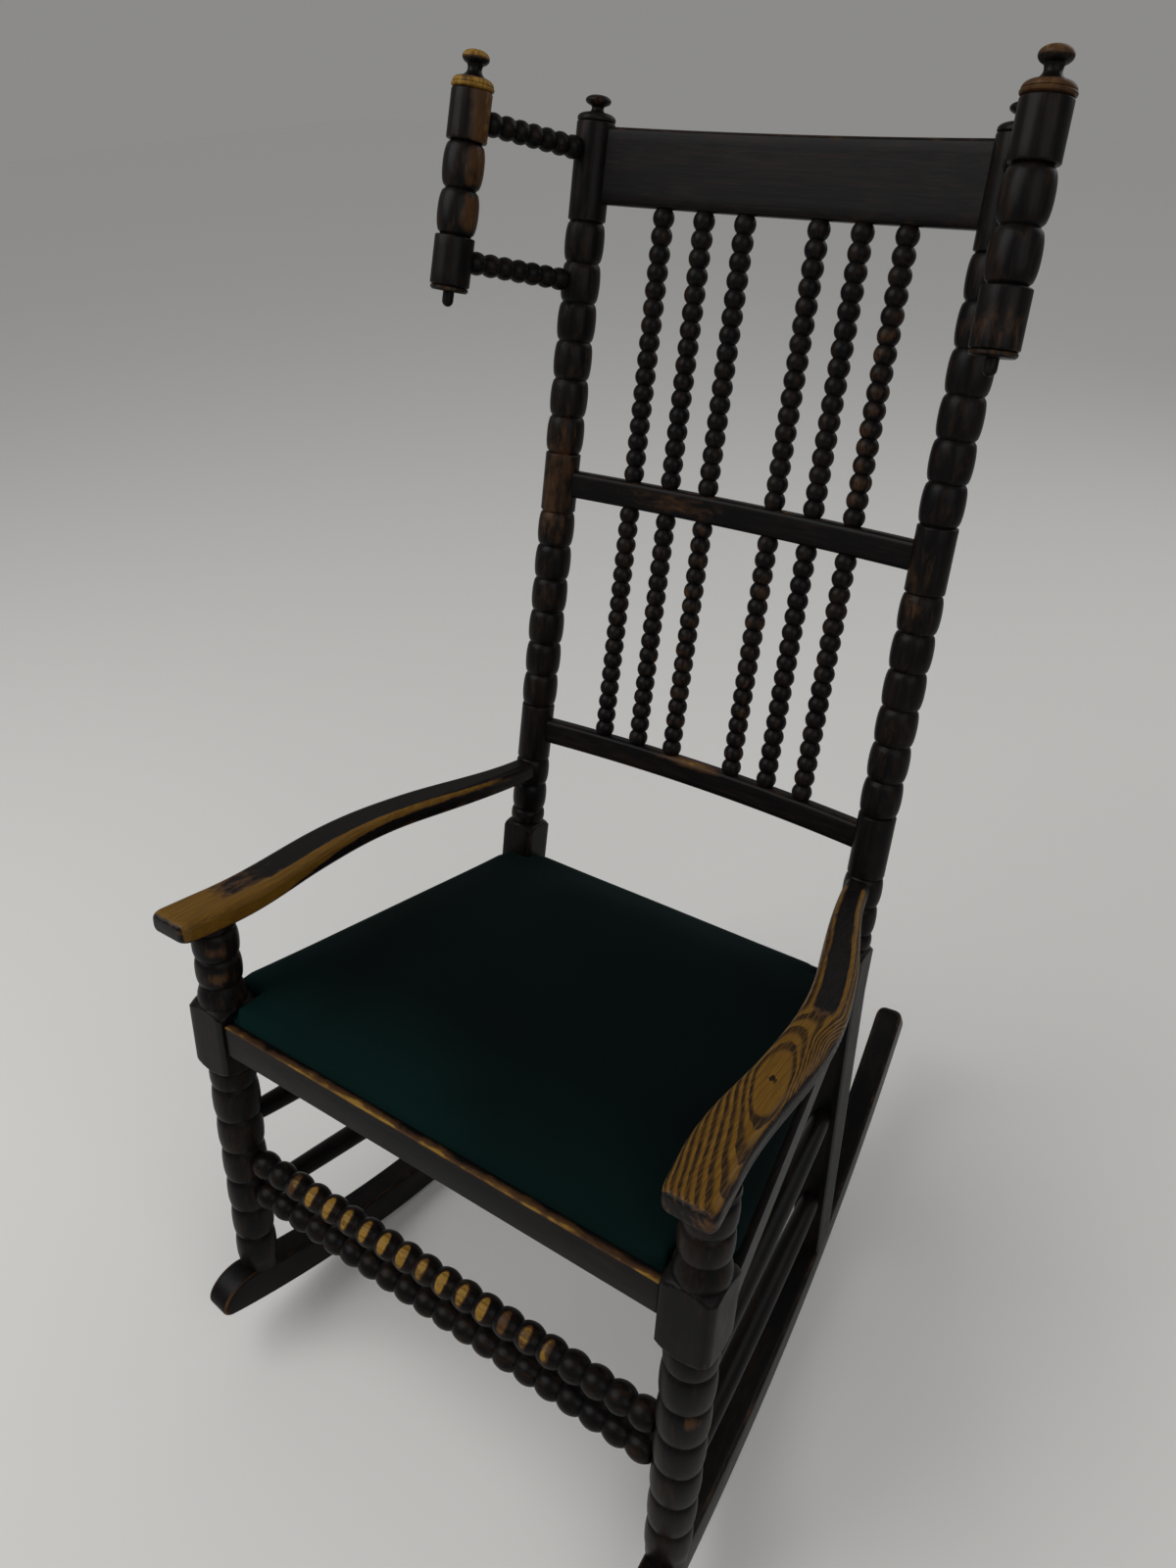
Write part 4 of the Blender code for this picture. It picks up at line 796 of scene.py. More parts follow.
def railWear(node, local, middle, height, rise, front):
    top = middle + height / 2
    spots = dict(
        middle_rail=[
            (0.40, (0.02, -0.008, top), (0.15, 0.03, 0.02)),
            (0.54, (-0.05, -0.004, middle), (0.12, 0.03, 0.03)),
        ],
        lower_rail=[(0.70, (-0.01, float(bowAt(-0.01)) - 0.008, top), (0.07, 0.020, 0.014))],
    )
    return worn(local, 0.34 * eased(rise, 0.80, 1.0) * eased(front, 0.0, 0.8), *spots.get(node, []))


def makeBackRail(node, name, middle, height, seed):
    halfThick = backRails["thickness"] / 2
    section = roundedBox(halfThick, height / 2, backRails["edge"], backRails["edgeSteps"], backRails["spans"])
    rings = []
    for i in range(backRails["steps"] + 1):
        share = -1 + 2 * i / backRails["steps"]
        ring = []
        for depth, up in section:
            x = share * (postAxisX(middle + up) - post["blockRadius"] + backRails["sink"])
            ring.append((x, depth + float(bowAt(x)), middle + up))
        rings.append(ring)
    obj = skinRings(name, rings, backFrame)
    local = np.reshape(rings, (-1, 3))
    rise = (local[:, 2] - middle) / (height / 2)
    front = -(local[:, 1] - bowAt(local[:, 0])) / halfThick
    crown = eased(np.abs(rise), 0.75, 1.0) * eased(np.abs(front), 0.3, 1.0)
    wear = railWear(node, local, middle, height, rise, front)
    finishMesh(obj, local[:, [1, 2, 0]] + grainShift["backRail"] * seed, wear, crown)
    placeStained(obj, node)


slim = backRails["slimHeight"]
makeBackRail("top_rail", "top_back_rail", topRailLow + backRails["topHeight"] / 2, backRails["topHeight"], 1)
makeBackRail("middle_rail", "middle_back_rail", middleRailMiddle, slim, 2)
makeBackRail("lower_rail", "lower_back_rail", lowerRailMiddle, slim, 3)
print("back rails made")


# Geometry Nodes that set copies of a form on points: bead strings here, and the tacks under the seat


class CopyTree(Nodes):
    def __init__(self, name, **kinds):
        super().__init__(bpy.data.node_groups.new(name, "GeometryNodeTree"))
        self.ids = {}
        for key, kind in dict(Geometry="Geometry", **kinds, Finish="Material").items():
            made = self.tree.interface.new_socket(key, in_out="INPUT", socket_type=f"NodeSocket{kind}")
            self.ids[key] = made.identifier
        self.tree.interface.new_socket("Geometry", in_out="OUTPUT", socket_type="NodeSocketGeometry")
        self.given = self.tree.nodes.new("NodeGroupInput").outputs

    def close(self, points, form):
        copies = self.add("GeometryNodeInstanceOnPoints", Points=points, Instance=form).outputs[0]
        real = self.add("GeometryNodeRealizeInstances", Geometry=copies).outputs[0]
        finish = self.given["Finish"]
        painted = self.add("GeometryNodeSetMaterial", Geometry=real, Material=finish).outputs[0]
        self.tree.links.new(painted, self.tree.nodes.new("NodeGroupOutput").inputs[0])
        return self

    def run(self, obj, **values):
        work = obj.modifiers.new("copies", "NODES")
        work.node_group = self.tree
        for key, value in values.items():
            work[self.ids[key]] = value
        return plainMesh(obj)


def beadTree():  # a line swept to a row of beads, with a round arc from groove to groove
    counts = dict(Beads="Int", Steps="Int", Facets="Int")
    make = CopyTree("bead_string", Length="Float", Radius="Float", Groove="Float", **counts)
    given = make.given
    end = make.add("ShaderNodeCombineXYZ", Z=given["Length"]).outputs[0]
    line = make.add("GeometryNodeCurvePrimitiveLine", End=end).outputs[0]
    points = make.plus(make.times(given["Beads"], given["Steps"]), 1.0)
    fineLine = make.add("GeometryNodeResampleCurve", Curve=line, Count=points).outputs[0]
    share = make.add("GeometryNodeSplineParameter").outputs["Factor"]
    turn = make.sum("FRACT", make.times(share, given["Beads"]))
    offset = make.less(make.times(turn, 2.0), 1.0)
    widest = make.times(given["Radius"], given["Radius"])
    least = make.times(given["Groove"], given["Groove"])
    fall = make.times(make.times(offset, offset), make.less(widest, least))
    size = make.sum("SQRT", make.less(widest, fall))
    circle = make.add("GeometryNodeCurvePrimitiveCircle", Resolution=given["Facets"], Radius=1.0).outputs[0]
    swept = {"Curve": fineLine, "Scale": size, "Profile Curve": circle, "Fill Caps": True}
    return make.close(given["Geometry"], make.add("GeometryNodeCurveToMesh", **swept).outputs[0])


beadStringTree = beadTree()


def beadStrings(name, starts, length, sizes):
    given = {key.capitalize(): sizes[key] for key in ("radius", "groove", "beads", "steps", "facets")}
    obj = beadStringTree.run(fromPoints(name, starts), Length=length, Finish=stained, **given)
    points, starts = corners(obj), np.asarray(starts)
    owner = np.argmin(((points[:, None, :2] - starts[None, :, :2]) ** 2).sum(axis=2), axis=1)
    local = points - starts[owner]
    beyond = np.hypot(local[:, 0], local[:, 1]) - sizes["groove"]
    return obj, local, owner, np.clip(beyond / (sizes["radius"] - sizes["groove"]), 0.0, 1.0)


spindles = dict(
    first=0.0344, spacing=0.0394, perSide=3, radius=0.0097, groove=0.0064, beads=16, steps=10, facets=20,
)
spindleWear = {  # the first and last bead of a worn length, from the top, and its wear
    ("upper", 5): (4, 15, 0.34),
    ("lower", 1): (2, 12, 0.22),
    ("lower", 2): (0, 14, 0.33),
    ("lower", 3): (2, 15, 0.32),
}


def makeSpindles(row, low, high, seed):
    outward = [spindles["first"] + i * spindles["spacing"] for i in range(spindles["perSide"])]
    places = sorted(side * x for side in (-1, 1) for x in outward)
    starts = [(x, float(bowAt(x)), low - lathe["seam"]) for x in places]
    length = high - low + 2 * lathe["seam"]
    obj, local, owner, crown = beadStrings(f"{row}_spindles", starts, length, spindles)
    bead = (1 - local[:, 2] / length) * spindles["beads"]
    wear = 0.04 * crown
    for (wornRow, number), (first, last, amount) in spindleWear.items():
        if wornRow == row:
            here = (owner == number) & (bead > first) & (bead < last)
            wear = np.where(here, amount * (0.35 + 0.65 * crown), wear)
    obj.data.transform(backFrame)
    finishMesh(obj, local + owner[:, None] * grainShift["spindle"] + seed, wear, crown)
    placeStained(obj, *(f"{row}_spindle_{i + 1}" for i in range(len(places))))


makeSpindles("lower", lowerRailMiddle + slim / 2, middleRailMiddle - slim / 2, 0.9)
makeSpindles("upper", middleRailMiddle + slim / 2, topRailLow, 0.2)

stretchers = dict(
    high=0.2155, low=0.1740, radius=0.0134, groove=0.0092, beads=20, steps=14, facets=32,
    shoes=(-0.55, 0.83), underneath=(-0.85, -0.53),
)


def makeFrontStretcher(row, level):
    end = leg["x"] - leg["radius"] + lathe["sink"]
    start = leanFrame @ Vector((-end, stance["legY"], level))
    obj, local, _, crown = beadStrings(f"front_stretcher_beads_{row}", [(0, 0, 0)], 2 * end, stretchers)
    obj.data.transform(Matrix.Translation(start) @ Matrix.Rotation(math.pi / 2, 4, "Y"))
    out = (corners(obj) - np.array(start))[:, 1:] / stretchers["radius"]
    bead = local[:, 2] / (2 * end) * stretchers["beads"]
    if row == "upper":  # where shoes rest: up and to the front
        own = np.array([noise.noise(Vector((math.floor(b) * 3.7, 0.2, 0.6))) for b in bead])
        along = eased(bead, 1.0, 3.2) * eased(-bead, -16.1, -15.2) * (0.92 + 0.5 * own)
        offset = 2 * (bead % 1.0) - 1
        turn = np.arccos(np.clip(out @ np.array(stretchers["shoes"]), -1, 1))
        wear = along * eased(1 - np.hypot(offset / 0.50, turn / 0.95), -0.25, 0.30)
    else:
        facing = eased(out @ np.array(stretchers["underneath"]), 0.72, 0.98)
        along = eased(bead, 4.0, 8.0) * eased(-bead, -16.0, -12.0)
        wear = 0.78 * along * facing * eased(crown, 0.5, 0.95)
    finishMesh(obj, local + level * 3, wear, crown)
    placeStained(obj, f"front_stretcher_{row}")


makeFrontStretcher("upper", stretchers["high"])
makeFrontStretcher("lower", stretchers["low"])
print("spindles and front stretchers made")


# Plain stretchers at the sides and the back

bars = dict(
    radius=0.0118, endRadius=0.0095, upper=(0.256, 0.240), lower=(0.147, 0.128), back=0.190, steps=32,
    facets=28, legSink=0.004, wear=0.10,
)
barEnd = post["footSide"] / 2 - lathe["sink"]


def rearLegAt(level):
    return rearLeg((stance["kneeZ"] - level) / (stance["kneeZ"] - rearFootLevel))[:2]


def plainBar(name, start, end, node, seed):
    run = Vector(end) - Vector(start)
    rows = [(0.0, run.length, 0.0)]
    for i in range(bars["steps"] + 1):
        share = i / bars["steps"]
        swell = math.sin(math.pi * share) ** 0.6
        radius = bars["endRadius"] + (bars["radius"] - bars["endRadius"]) * swell
        rows.append((radius, run.length * (1 - share), 0.25))
    rows.append((0.0, 0.0, 0.0))
    obj, local, grain, crown = turnOnLathe(name, rows, leanFrame @ onAxis(start, run), seed, bars["facets"])
    finishMesh(obj, grain, np.full(len(local), bars["wear"]), crown)
    placeStained(obj, node)


seed = 20
for label, side in sides:
    for row in ("upper", "lower"):
        front, rear = bars[row]
        x, y = rearLegAt(rear)
        start = Vector((side * leg["x"], stance["legY"], front))
        end = Vector((side * x, y, rear))
        run = (end - start).normalized()
        seed += 1
        start += run * (leg["radius"] - bars["legSink"])
        end -= run * barEnd
        plainBar(f"side_stretcher_bar_{row}_{label}", start, end, f"side_stretcher_{row}_{label}", seed)
x, y = rearLegAt(bars["back"])
x -= barEnd
plainBar("back_stretcher_bar", (-x, y, bars["back"]), (x, y, bars["back"]), "back_stretcher", 30)
print("plain stretchers made")


# Ears: two blocks and two bobbins, a gold finial above, a disc and pin below, two bead spindles to the post

ear = dict(
    x=0.239, forward=0.1277, height=0.5805, rake=math.radians(4.0), leanIn=math.radians(1.9), radius=0.0173,
    groove=0.0130, swell=0.0004, lowBlock=0.0404, pitch=0.0359, count=2, highBlock=0.0385,
)
earSpindle = dict(
    radius=0.0097, groove=0.0068, beads=7, steps=14, facets=24, low=0.0215, high=0.1300, topDrop=0.0240,
    lowerBobbin=1.5,
)
finial = dict(
    capHeight=0.0090, postShare=0.78, postCap=0.0171, earCap=0.0182, neck=0.0054, postNeck=0.0045,
    earNeck=0.0085, knob=0.0114, knobHeight=0.0118, knobSteps=18, neckSteps=12, neckTop=1.28, overlap=0.10,
    foot=0.58,
)
drop = dict(height=0.0042, radius=0.0165, pin=0.0049, length=0.0125)
earTop = ear["lowBlock"] + ear["count"] * ear["pitch"] + ear["highBlock"]


def earAxis(side):
    axis = Vector((-side * math.tan(ear["leanIn"]), math.tan(ear["rake"]), 1.0)).normalized()
    return Vector((side * ear["x"], -ear["forward"], ear["height"])), axis


def finialProfile(neckHeight, cap, scale, flared):
    dome, button = finial["capHeight"] * scale, finial["knobHeight"] * scale
    low, steps, overlap = dome + neckHeight, finial["knobSteps"], finial["overlap"] * button
    neckTop = finial["neck"] * finial["neckTop"]
    rows = []
    for i in range(steps + 1):  # flattened button, drawn in below to the neck
        turn = math.pi * i / steps
        radius = finial["knob"] * math.sin(turn) ** 0.85 if 0 < i < steps else 0.0
        if turn < math.pi / 2 or radius > finial["neck"] * 1.3:
            rows.append((radius, low + button * (0.5 + 0.5 * math.cos(turn)), 0.9))
    waist = finial["neck"] * (1.10 if flared else 0.98)
    start = finial["foot"] * cap if flared else neckTop
    for i in range(finial["neckSteps"] + 1):  # waisted neck, which spreads at its foot
        share = i / finial["neckSteps"]
        above = max(0.0, 1 - share / 0.4) ** 2 * (neckTop - waist)
        below = max(0.0, share / 0.6 - 0.4 / 0.6) ** 2 * (start - waist)
        rows.append((waist + above + below, low + overlap - (neckHeight + overlap) * share, 0.1))
    if flared:  # a round moulding over a lip
        for turn in quarterTurns(8)[1:]:
            radius = start + (0.96 * cap - start) * math.sin(turn)
            rows.append((radius, dome * (0.46 + 0.54 * math.cos(turn)), 0.6))
        lip = ((0.93, 0.40, 0.0), (0.98, 0.36, 0.5), (1.0, 0.26, 0.7), (0.98, 0.12, 0.5), (0.89, 0.0, 0.0))
        rows += [(out * cap, up * dome, crown) for out, up, crown in lip]
    else:  # a round shoulder
        for turn in quarterTurns(10)[1:]:
            rows.append((start + (cap - start) * math.sin(turn), dome * (0.28 + 0.72 * math.cos(turn)), 0.5))
        rows += [(cap, 0.10 * dome, 0.5), (cap - 0.0006, 0.0, 0.2)]
    return rows + [(0.0, 0.0, 0.0)]


def earProfile():
    radius, groove, low, seam = ear["radius"], ear["groove"], ear["lowBlock"], lathe["seam"]
    rows = [(0.0, earTop, 0.0)]
    rows += cylinderBlock(earTop, ear["highBlock"] - seam, radius)
    rows += barrels(earTop - ear["highBlock"], ear["pitch"], ear["count"], radius + ear["swell"], groove)
    rows.append((groove, low, 0.0))
    return rows + cylinderBlock(low - seam, low - seam, radius) + [(0.0, 0.0, 0.0)]


def dropProfile():
    radius, pin, low = drop["radius"], drop["pin"], -drop["height"]
    rows = [(0.0, 0.0, 0.0), (radius - 0.0008, 0.0, 0.3), (radius, 0.2 * low, 0.8), (radius, 0.65 * low, 0.8)]
    rows += [(0.9 * radius, low, 0.4), (1.2 * pin, low, 0.1), (pin, 1.15 * low, 0.1)]
    rows.append((pin, low - 0.6 * drop["length"], 0.3))
    for turn in quarterTurns(6)[1:]:
        rows.append((pin * math.cos(turn), low - drop["length"] * (0.6 + 0.4 * math.sin(turn)), 0.4))
    return rows


def makeEarSpindle(row, label, side, earAt, postAt, postSurface):
    foot, axis = earAxis(side)
    begin = foot + axis * earAt
    target = Vector((side * postAxisX(postAt), 0.0, postAt))
    run = (target - begin).normalized()
    start = begin + run * (ear["radius"] - lathe["sink"])
    length = (target - run * (postSurface - lathe["sink"]) - start).length
    obj, local, _, crown = beadStrings(f"ear_spindle_beads_{row}_{label}", [(0, 0, 0)], length, earSpindle)
    obj.data.transform(backFrame @ onAxis(start, run))
    finishMesh(obj, local + postAt + side, 0.05 * crown, crown)
    placeStained(obj, f"ear_spindle_{row}_{label}")


def finialWear(local, side):  # bare on top of the button and round the cap, most on the left
    capTop, knob = finial["capHeight"], finial["knobHeight"]
    knobTop = capTop + finial["earNeck"] + knob
    button = eased(local[:, 2], knobTop - 0.85 * knob, knobTop - 0.35 * knob)
    cap = eased(-local[:, 2], -capTop - 0.001, -capTop + 0.002) * 0.9
    return np.maximum(button, cap) * (0.88 if side < 0 else 0.60)


def earWear(obj, side):  # rubbed on the side towards the sitter
    foot, axis = earAxis(side)
    points = moved(corners(obj), backFrame.inverted()) - np.array(foot)
    rise = points @ np.array(axis)
    out = points - rise[:, None] * np.array(axis)
    if side > 0:
        return 0.10 + 0.20 * eased(-rise, -0.045, -0.02) * eased(-out[:, 1], -0.01, 0.01)
    turn = np.degrees(np.arctan2(-side * out[:, 0], -out[:, 1]))  # from straight ahead towards the sitter
    towards = eased(turn, 12, 68) * eased(-turn, -155, -105)
    bulge = eased(np.hypot(out[:, 0], out[:, 1]), ear["groove"] + 0.001, ear["radius"] - 0.0004)
    highBlock = earTop - ear["highBlock"]
    block = eased(rise, highBlock - 0.002, highBlock + 0.002)
    bobbins = eased(rise, ear["lowBlock"] - 0.002, ear["lowBlock"] + 0.010)
    return towards * (0.16 + 0.38 * bobbins * bulge + 0.09 * block)


def makeEar(label, side):
    foot, axis = earAxis(side)
    place = backFrame @ onAxis(foot, axis)
    obj, _, grain, crown = turnOnLathe(f"ear_turning_{label}", earProfile(), place, 40 + side)
    finishMesh(obj, grain, earWear(obj, side), crown)
    placeStained(obj, f"ear_post_{label}")

    place = backFrame @ onAxis(foot + axis * (earTop + lathe["lift"]), axis)
    profile = finialProfile(finial["earNeck"], finial["earCap"], 1.0, True)
    obj, local, grain, crown = turnOnLathe(f"ear_finial_turning_{label}", profile, place, 44 + side)
    finishMesh(obj, grain, finialWear(local, side), crown)
    placePiece(obj, "frame", "worn_wood", stained, f"ear_finial_{label}")

    place = backFrame @ onAxis(foot - axis * lathe["lift"], axis)
    obj, _, grain, crown = turnOnLathe(f"ear_drop_turning_{label}", dropProfile(), place, 48 + side)
    finishMesh(obj, grain, 0.42 * crown, crown)
    placeStained(obj, f"ear_drop_{label}")

    upperOnPost = postTop - earSpindle["topDrop"]
    lowerOnPost = topBlockLow - earSpindle["lowerBobbin"] * post["pitch"]
    makeEarSpindle("upper", label, side, earSpindle["high"], upperOnPost, post["blockRadius"])
    makeEarSpindle("lower", label, side, earSpindle["low"], lowerOnPost, post["radius"])


def makeBackFinial(label, side):
    axis = Vector((-side * math.sin(post["leanIn"]), 0, math.cos(post["leanIn"])))
    place = backFrame @ onAxis(Vector((side * post["x"], 0, 0)) + axis * (postTop + lathe["lift"]), axis)
    profile = finialProfile(finial["postNeck"], finial["postCap"], finial["postShare"], False)
    obj, _, grain, crown = turnOnLathe(f"back_finial_turning_{label}", profile, place, 52 + side)
    finishMesh(obj, grain, 0.26 * crown, crown)
    placeStained(obj, f"back_finial_{label}")


makeBoth("ears and finials", makeEar, makeBackFinial)


# Arms: serpentine boards, worn to the elm on top

arm = dict(
    thickness=0.021, overhang=0.044, bow=0.0225, frontIn=0.003, tip=0.043, legWidth=0.0445, belly=0.0405,
    waist=0.035, postWidth=0.0235, bellyAt=0.30, waistAt=0.64, edge=0.0065, edgeSteps=6, stations=112,
    nose=0.010, noseCorner=0.0058, noseEdge=0.0045, spans=(14, 3), postSink=0.003,
    endWear={-1: 0.27, 1: 0.25},
)
armMiddle = armLevel + arm["thickness"] / 2
armPostHeight = (armMiddle - stance["kneeZ"]) / math.cos(stance["rake"])
armRear = kneePlace @ rakeTurn @ Vector((postAxisX(armPostHeight), 0.0, armPostHeight))
armRearY = armRear.y - post["radius"] / math.cos(stance["rake"]) + arm["postSink"]
armRun = armRearY - stance["legY"]
armTip = -arm["overhang"] / armRun

# The right arm was sawn through a bump in the trunk, so its rings close round an eye; the left shows none.
eye = dict(
    x=0.2468, y=-0.2055, frontSlant=0.245, rearSlant=0.15, half=0.0128, frontReach=0.042, rearReach=0.037,
    frontGrowth=10.0, rearGrowth=17.0, crowd=2.4, linesPerHalf=2.7, plain=-1.0, straight=(-0.150, -0.105),
    straightFar=1.8, deepening=0.5, firstLine=0.6, leastLine=0.22,
)
armElm = armWood()


def smoothMarks(value, marks):
    for (low, lowSize), (high, highSize) in zip(marks, marks[1:]):
        if value <= high:
            return lowSize + (highSize - lowSize) * float(eased(value, low, high))
    return marks[-1][1]


def armLine(share):  # the arm's middle and half width at a share of the way from leg to post
    bow = arm["bow"] * math.sin(math.pi * min(max(share, 0.0), 1.0)) ** 2
    inward = arm["frontIn"] * (1 - float(eased(share, 0.0, arm["bellyAt"])))
    x = leg["x"] + (armRear.x - leg["x"]) * share + bow - inward
    marks = [(armTip, arm["tip"]), (0.0, arm["legWidth"]), (arm["bellyAt"], arm["belly"])]
    marks += [(arm["waistAt"], arm["waist"]), (1.0, arm["postWidth"])]
    return x, stance["legY"] + armRun * share, smoothMarks(share, marks) / 2


def armRings(side, local, centre):
    if side < 0:
        return np.full(len(local), eye["plain"])
    x, y = local[:, 0] - eye["x"], local[:, 1] - eye["y"]
    rear = eased(local[:, 1], *eye["straight"])  # where the lines run along the arm
    slant, reach, growth = (
        np.where(y < 0, eye[f"front{name}"], eye[f"rear{name}"]) for name in ("Slant", "Reach", "Growth")
    )
    across = (1 - rear) * (x + slant * y) + rear * (local[:, 0] - centre)
    across += (eye["crowd"] - 1) * np.maximum(across - eye["half"], 0.0)
    ahead = np.abs(y)
    along = np.where(ahead < reach, ahead / reach, 1 + growth * (ahead - reach))
    along = (1 - rear) * along + rear * np.minimum(along, eye["straightFar"])
    depth = eye["deepening"] * (armMiddle + arm["thickness"] / 2 - local[:, 2]) / eye["half"]
    far = np.sqrt(along**2 + (across / eye["half"]) ** 2) + depth
    return np.maximum(eye["linesPerHalf"] * (far - 1.0) + eye["firstLine"], eye["leastLine"])


# How far up the inner flank the left arm's streak reaches, and where its top is bare, along the arm
leftArm = dict(
    streakAt=(0.0, 0.15, 0.20, 0.33, 0.47, 0.60, 0.72, 0.85, 0.93),
    streak=(1.3, 1.00, 0.66, 0.40, 0.25, 0.16, 0.09, 0.03, -0.25),
    innerAt=(0.20, 0.50, 0.85),
    inner=(0.46, 0.56, 0.76),
)


def armWear(side, along, across, up):
    behind = eased(along, 0.40, 0.52)
    outer = across > 0
    arris = np.where(outer, 0.72 - 0.60 * behind, 0.25)
    top = eased(up, arris, np.where(outer, 1.0 - 0.35 * behind, 0.9))
    under = eased(-up, 0.15, 0.9)
    flank = np.clip(1 - top - under, 0.0, 1.0)
    if side > 0:  # stain left along the middle behind, bare on both sides of it
        ending = eased(along, 0.955, 0.99)
        dark = eased(along, 0.43, 0.53) * eased(across, -0.68, -0.42) * eased(-across, -0.62, -0.40)
        dim = 0.40 * eased(along, 0.45, 0.60) * eased(-across, 0.40, 0.62) + 0.9 * ending
        onTop = np.clip(1.0 - 0.95 * dark - dim, 0.0, 1.0)
        onFlank = 0.20 + 0.45 * behind * eased(across, 0.0, 1.0) * eased(up, -0.2, 0.6) - 0.2 * ending
    else:  # bare in front, then only a streak that thins along the inner edge
        streak = np.interp(along, leftArm["streakAt"], leftArm["streak"])
        inner = np.interp(along, leftArm["innerAt"], leftArm["inner"])
        band = eased(streak - (1 - up) / 2, -0.10, 0.10)
        flaked = eased(along, -0.04, 0.06) * (1 - eased(np.abs(across - 0.2), 0.45, 0.80))
        inside = 0.95 * eased(-across, inner, inner + 0.18) * (1 - eased(along, 0.80, 0.94))
        outside = 0.42 * eased(across, 0.72, 0.95) * (1 - eased(along, 0.35, 0.60))
        onTop = (0.95 - 0.56 * flaked) * (1 - eased(along, 0.06, 0.25))
        onTop = np.maximum(np.maximum(onTop, inside), outside)
        onFlank = np.where(across < 0, 0.10 + 0.85 * band, 0.16 + 0.30 * (1 - eased(along, 0.0, 0.25)))
    return np.clip(onTop * top + onFlank * flank + 0.26 * under, 0.0, 1.0)


def makeArm(label, side):
    turns = quarterTurns(8)  # the rounded front end, then the rest
    shares = [armTip + arm["nose"] / armRun * (1 - math.cos(turn)) for turn in turns]
    shrinks = [1 - math.sin(turn) for turn in turns] + [0.0] * arm["stations"]
    first = shares[-1]
    shares += [first + (1 - first) * i / arm["stations"] for i in range(1, arm["stations"] + 1)]
    rings, across, along, centre = [], [], [], []
    for share, shrink in zip(shares, shrinks):
        x, y, half = armLine(share)
        wide = half - arm["noseCorner"] * shrink
        rise = arm["thickness"] / 2 - arm["noseEdge"] * shrink
        section = roundedBox(wide, rise, arm["edge"] * (1 - 0.4 * shrink), arm["edgeSteps"], arm["spans"])
        rings.append([(side * (x + out), y, armMiddle + up) for out, up in section])
        across += [out / half for out, _ in section]
        along += [share] * len(section)
        centre += [x] * len(section)
    obj = skinRings(f"arm_board_{label}", rings, leanFrame)
    local, along = np.reshape(rings, (-1, 3)), np.array(along)
    up = (local[:, 2] - armMiddle) / (arm["thickness"] / 2)
    wear = armWear(side, along, np.array(across), up)
    wear[along < armTip + 0.25 * arm["nose"] / armRun] = arm["endWear"][side]
    finishMesh(obj, local[:, [0, 2, 1]], wear, np.zeros(len(local)))
    paint(obj.data, "rings", armRings(side, local, np.array(centre)))
    placePiece(obj, "frame", "worn_wood", armElm, f"arm_{label}")


makeBoth("arms", makeArm)


# Seat rails: the CAD rails with their edges eased, and gold along the front one's top

seatRails = dict(
    edge=0.0014, edgeSteps=3, edgeAngle=math.radians(40), flatAngle=math.radians(1), weld=0.00002, crease=30,
    lengths=80, strips=(0.0022, 0.0035, 0.0055, 0.009), wear=0.06, frontWear=0.14,
)


def easedCopy(node, name, lengthwise):
    shape = bmesh.new()
    shape.from_mesh(frame["nodes"][node].data)
    bmesh.ops.remove_doubles(shape, verts=shape.verts, dist=seatRails["weld"])
    flat = seatRails["flatAngle"]
    bmesh.ops.dissolve_limit(shape, angle_limit=flat, verts=shape.verts, edges=shape.edges)
    obj = fromShape(name, shape)
    obj.data.transform(leanFrame.inverted())
    bevel = obj.modifiers.new("eased_edges", "BEVEL")
    bevel.width = seatRails["edge"]
    bevel.segments = seatRails["edgeSteps"]
    bevel.limit_method = "ANGLE"
    bevel.angle_limit = seatRails["edgeAngle"]
    obj = plainMesh(obj)
    sliceRail(obj.data, lengthwise)
    return obj


def sliceRail(mesh, lengthwise):  # cuts a rail into short lengths and its top into thin strips, to carry wear
    shape = bmesh.new()
    shape.from_mesh(mesh)
    reach = [vertex.co[lengthwise] for vertex in shape.verts]
    top = max(vertex.co.z for vertex in shape.verts)
    low, high, lengths = min(reach), max(reach), seatRails["lengths"]
    along, up = Vector((1 - lengthwise, lengthwise, 0)), Vector((0, 0, 1))
    cuts = [(along * (low + (high - low) * i / lengths), along) for i in range(1, lengths)]
    cuts += [(up * (top - fall), up) for fall in seatRails["strips"]]
    for place, normal in cuts:
        everything = shape.verts[:] + shape.edges[:] + shape.faces[:]
        bmesh.ops.bisect_plane(shape, geom=everything, plane_co=place, plane_no=normal)
    shape.to_mesh(mesh)
    shape.free()


def frontRailWear(points):  # a broken gold line along the top edge, thinner towards the legs
    x, y, z = points.T
    top, front = z.max(), y.min()
    uneven = np.array([noise.noise(Vector((at * 24, 0.3, 0.0))) for at in x])
    uneven += 0.7 * np.array([noise.noise(Vector((at * 95, 0.8, 0.0))) for at in x])
    ends = eased(np.abs(x), 0.12, 0.21)
    strip = eased(z, top - 0.0032 + 0.0014 * ends, top - 0.0008 + 0.0004 * ends)
    strip *= (0.70 + 0.36 * uneven) * (1 - 0.16 * ends)
    behind = eased(y, front + 0.0035 - 0.0022 * ends, front + 0.0065 - 0.0035 * ends)
    return np.maximum(seatRails["frontWear"], strip * (1 - 0.7 * behind))


def makeSeatRail(node, name, lengthwise, seed):
    obj = easedCopy(node, name, lengthwise)
    points = corners(obj)
    front = node == "front_seat_rail"
    wear = frontRailWear(points) if front else np.full(len(points), seatRails["wear"])
    grain = points[:, [0, 2, 1] if lengthwise else [1, 2, 0]] + seed * grainShift["seatRail"]
    obj.data.transform(leanFrame)
    finishMesh(obj, grain, wear, np.zeros(len(points)), seatRails["crease"])
    placeStained(obj, node)


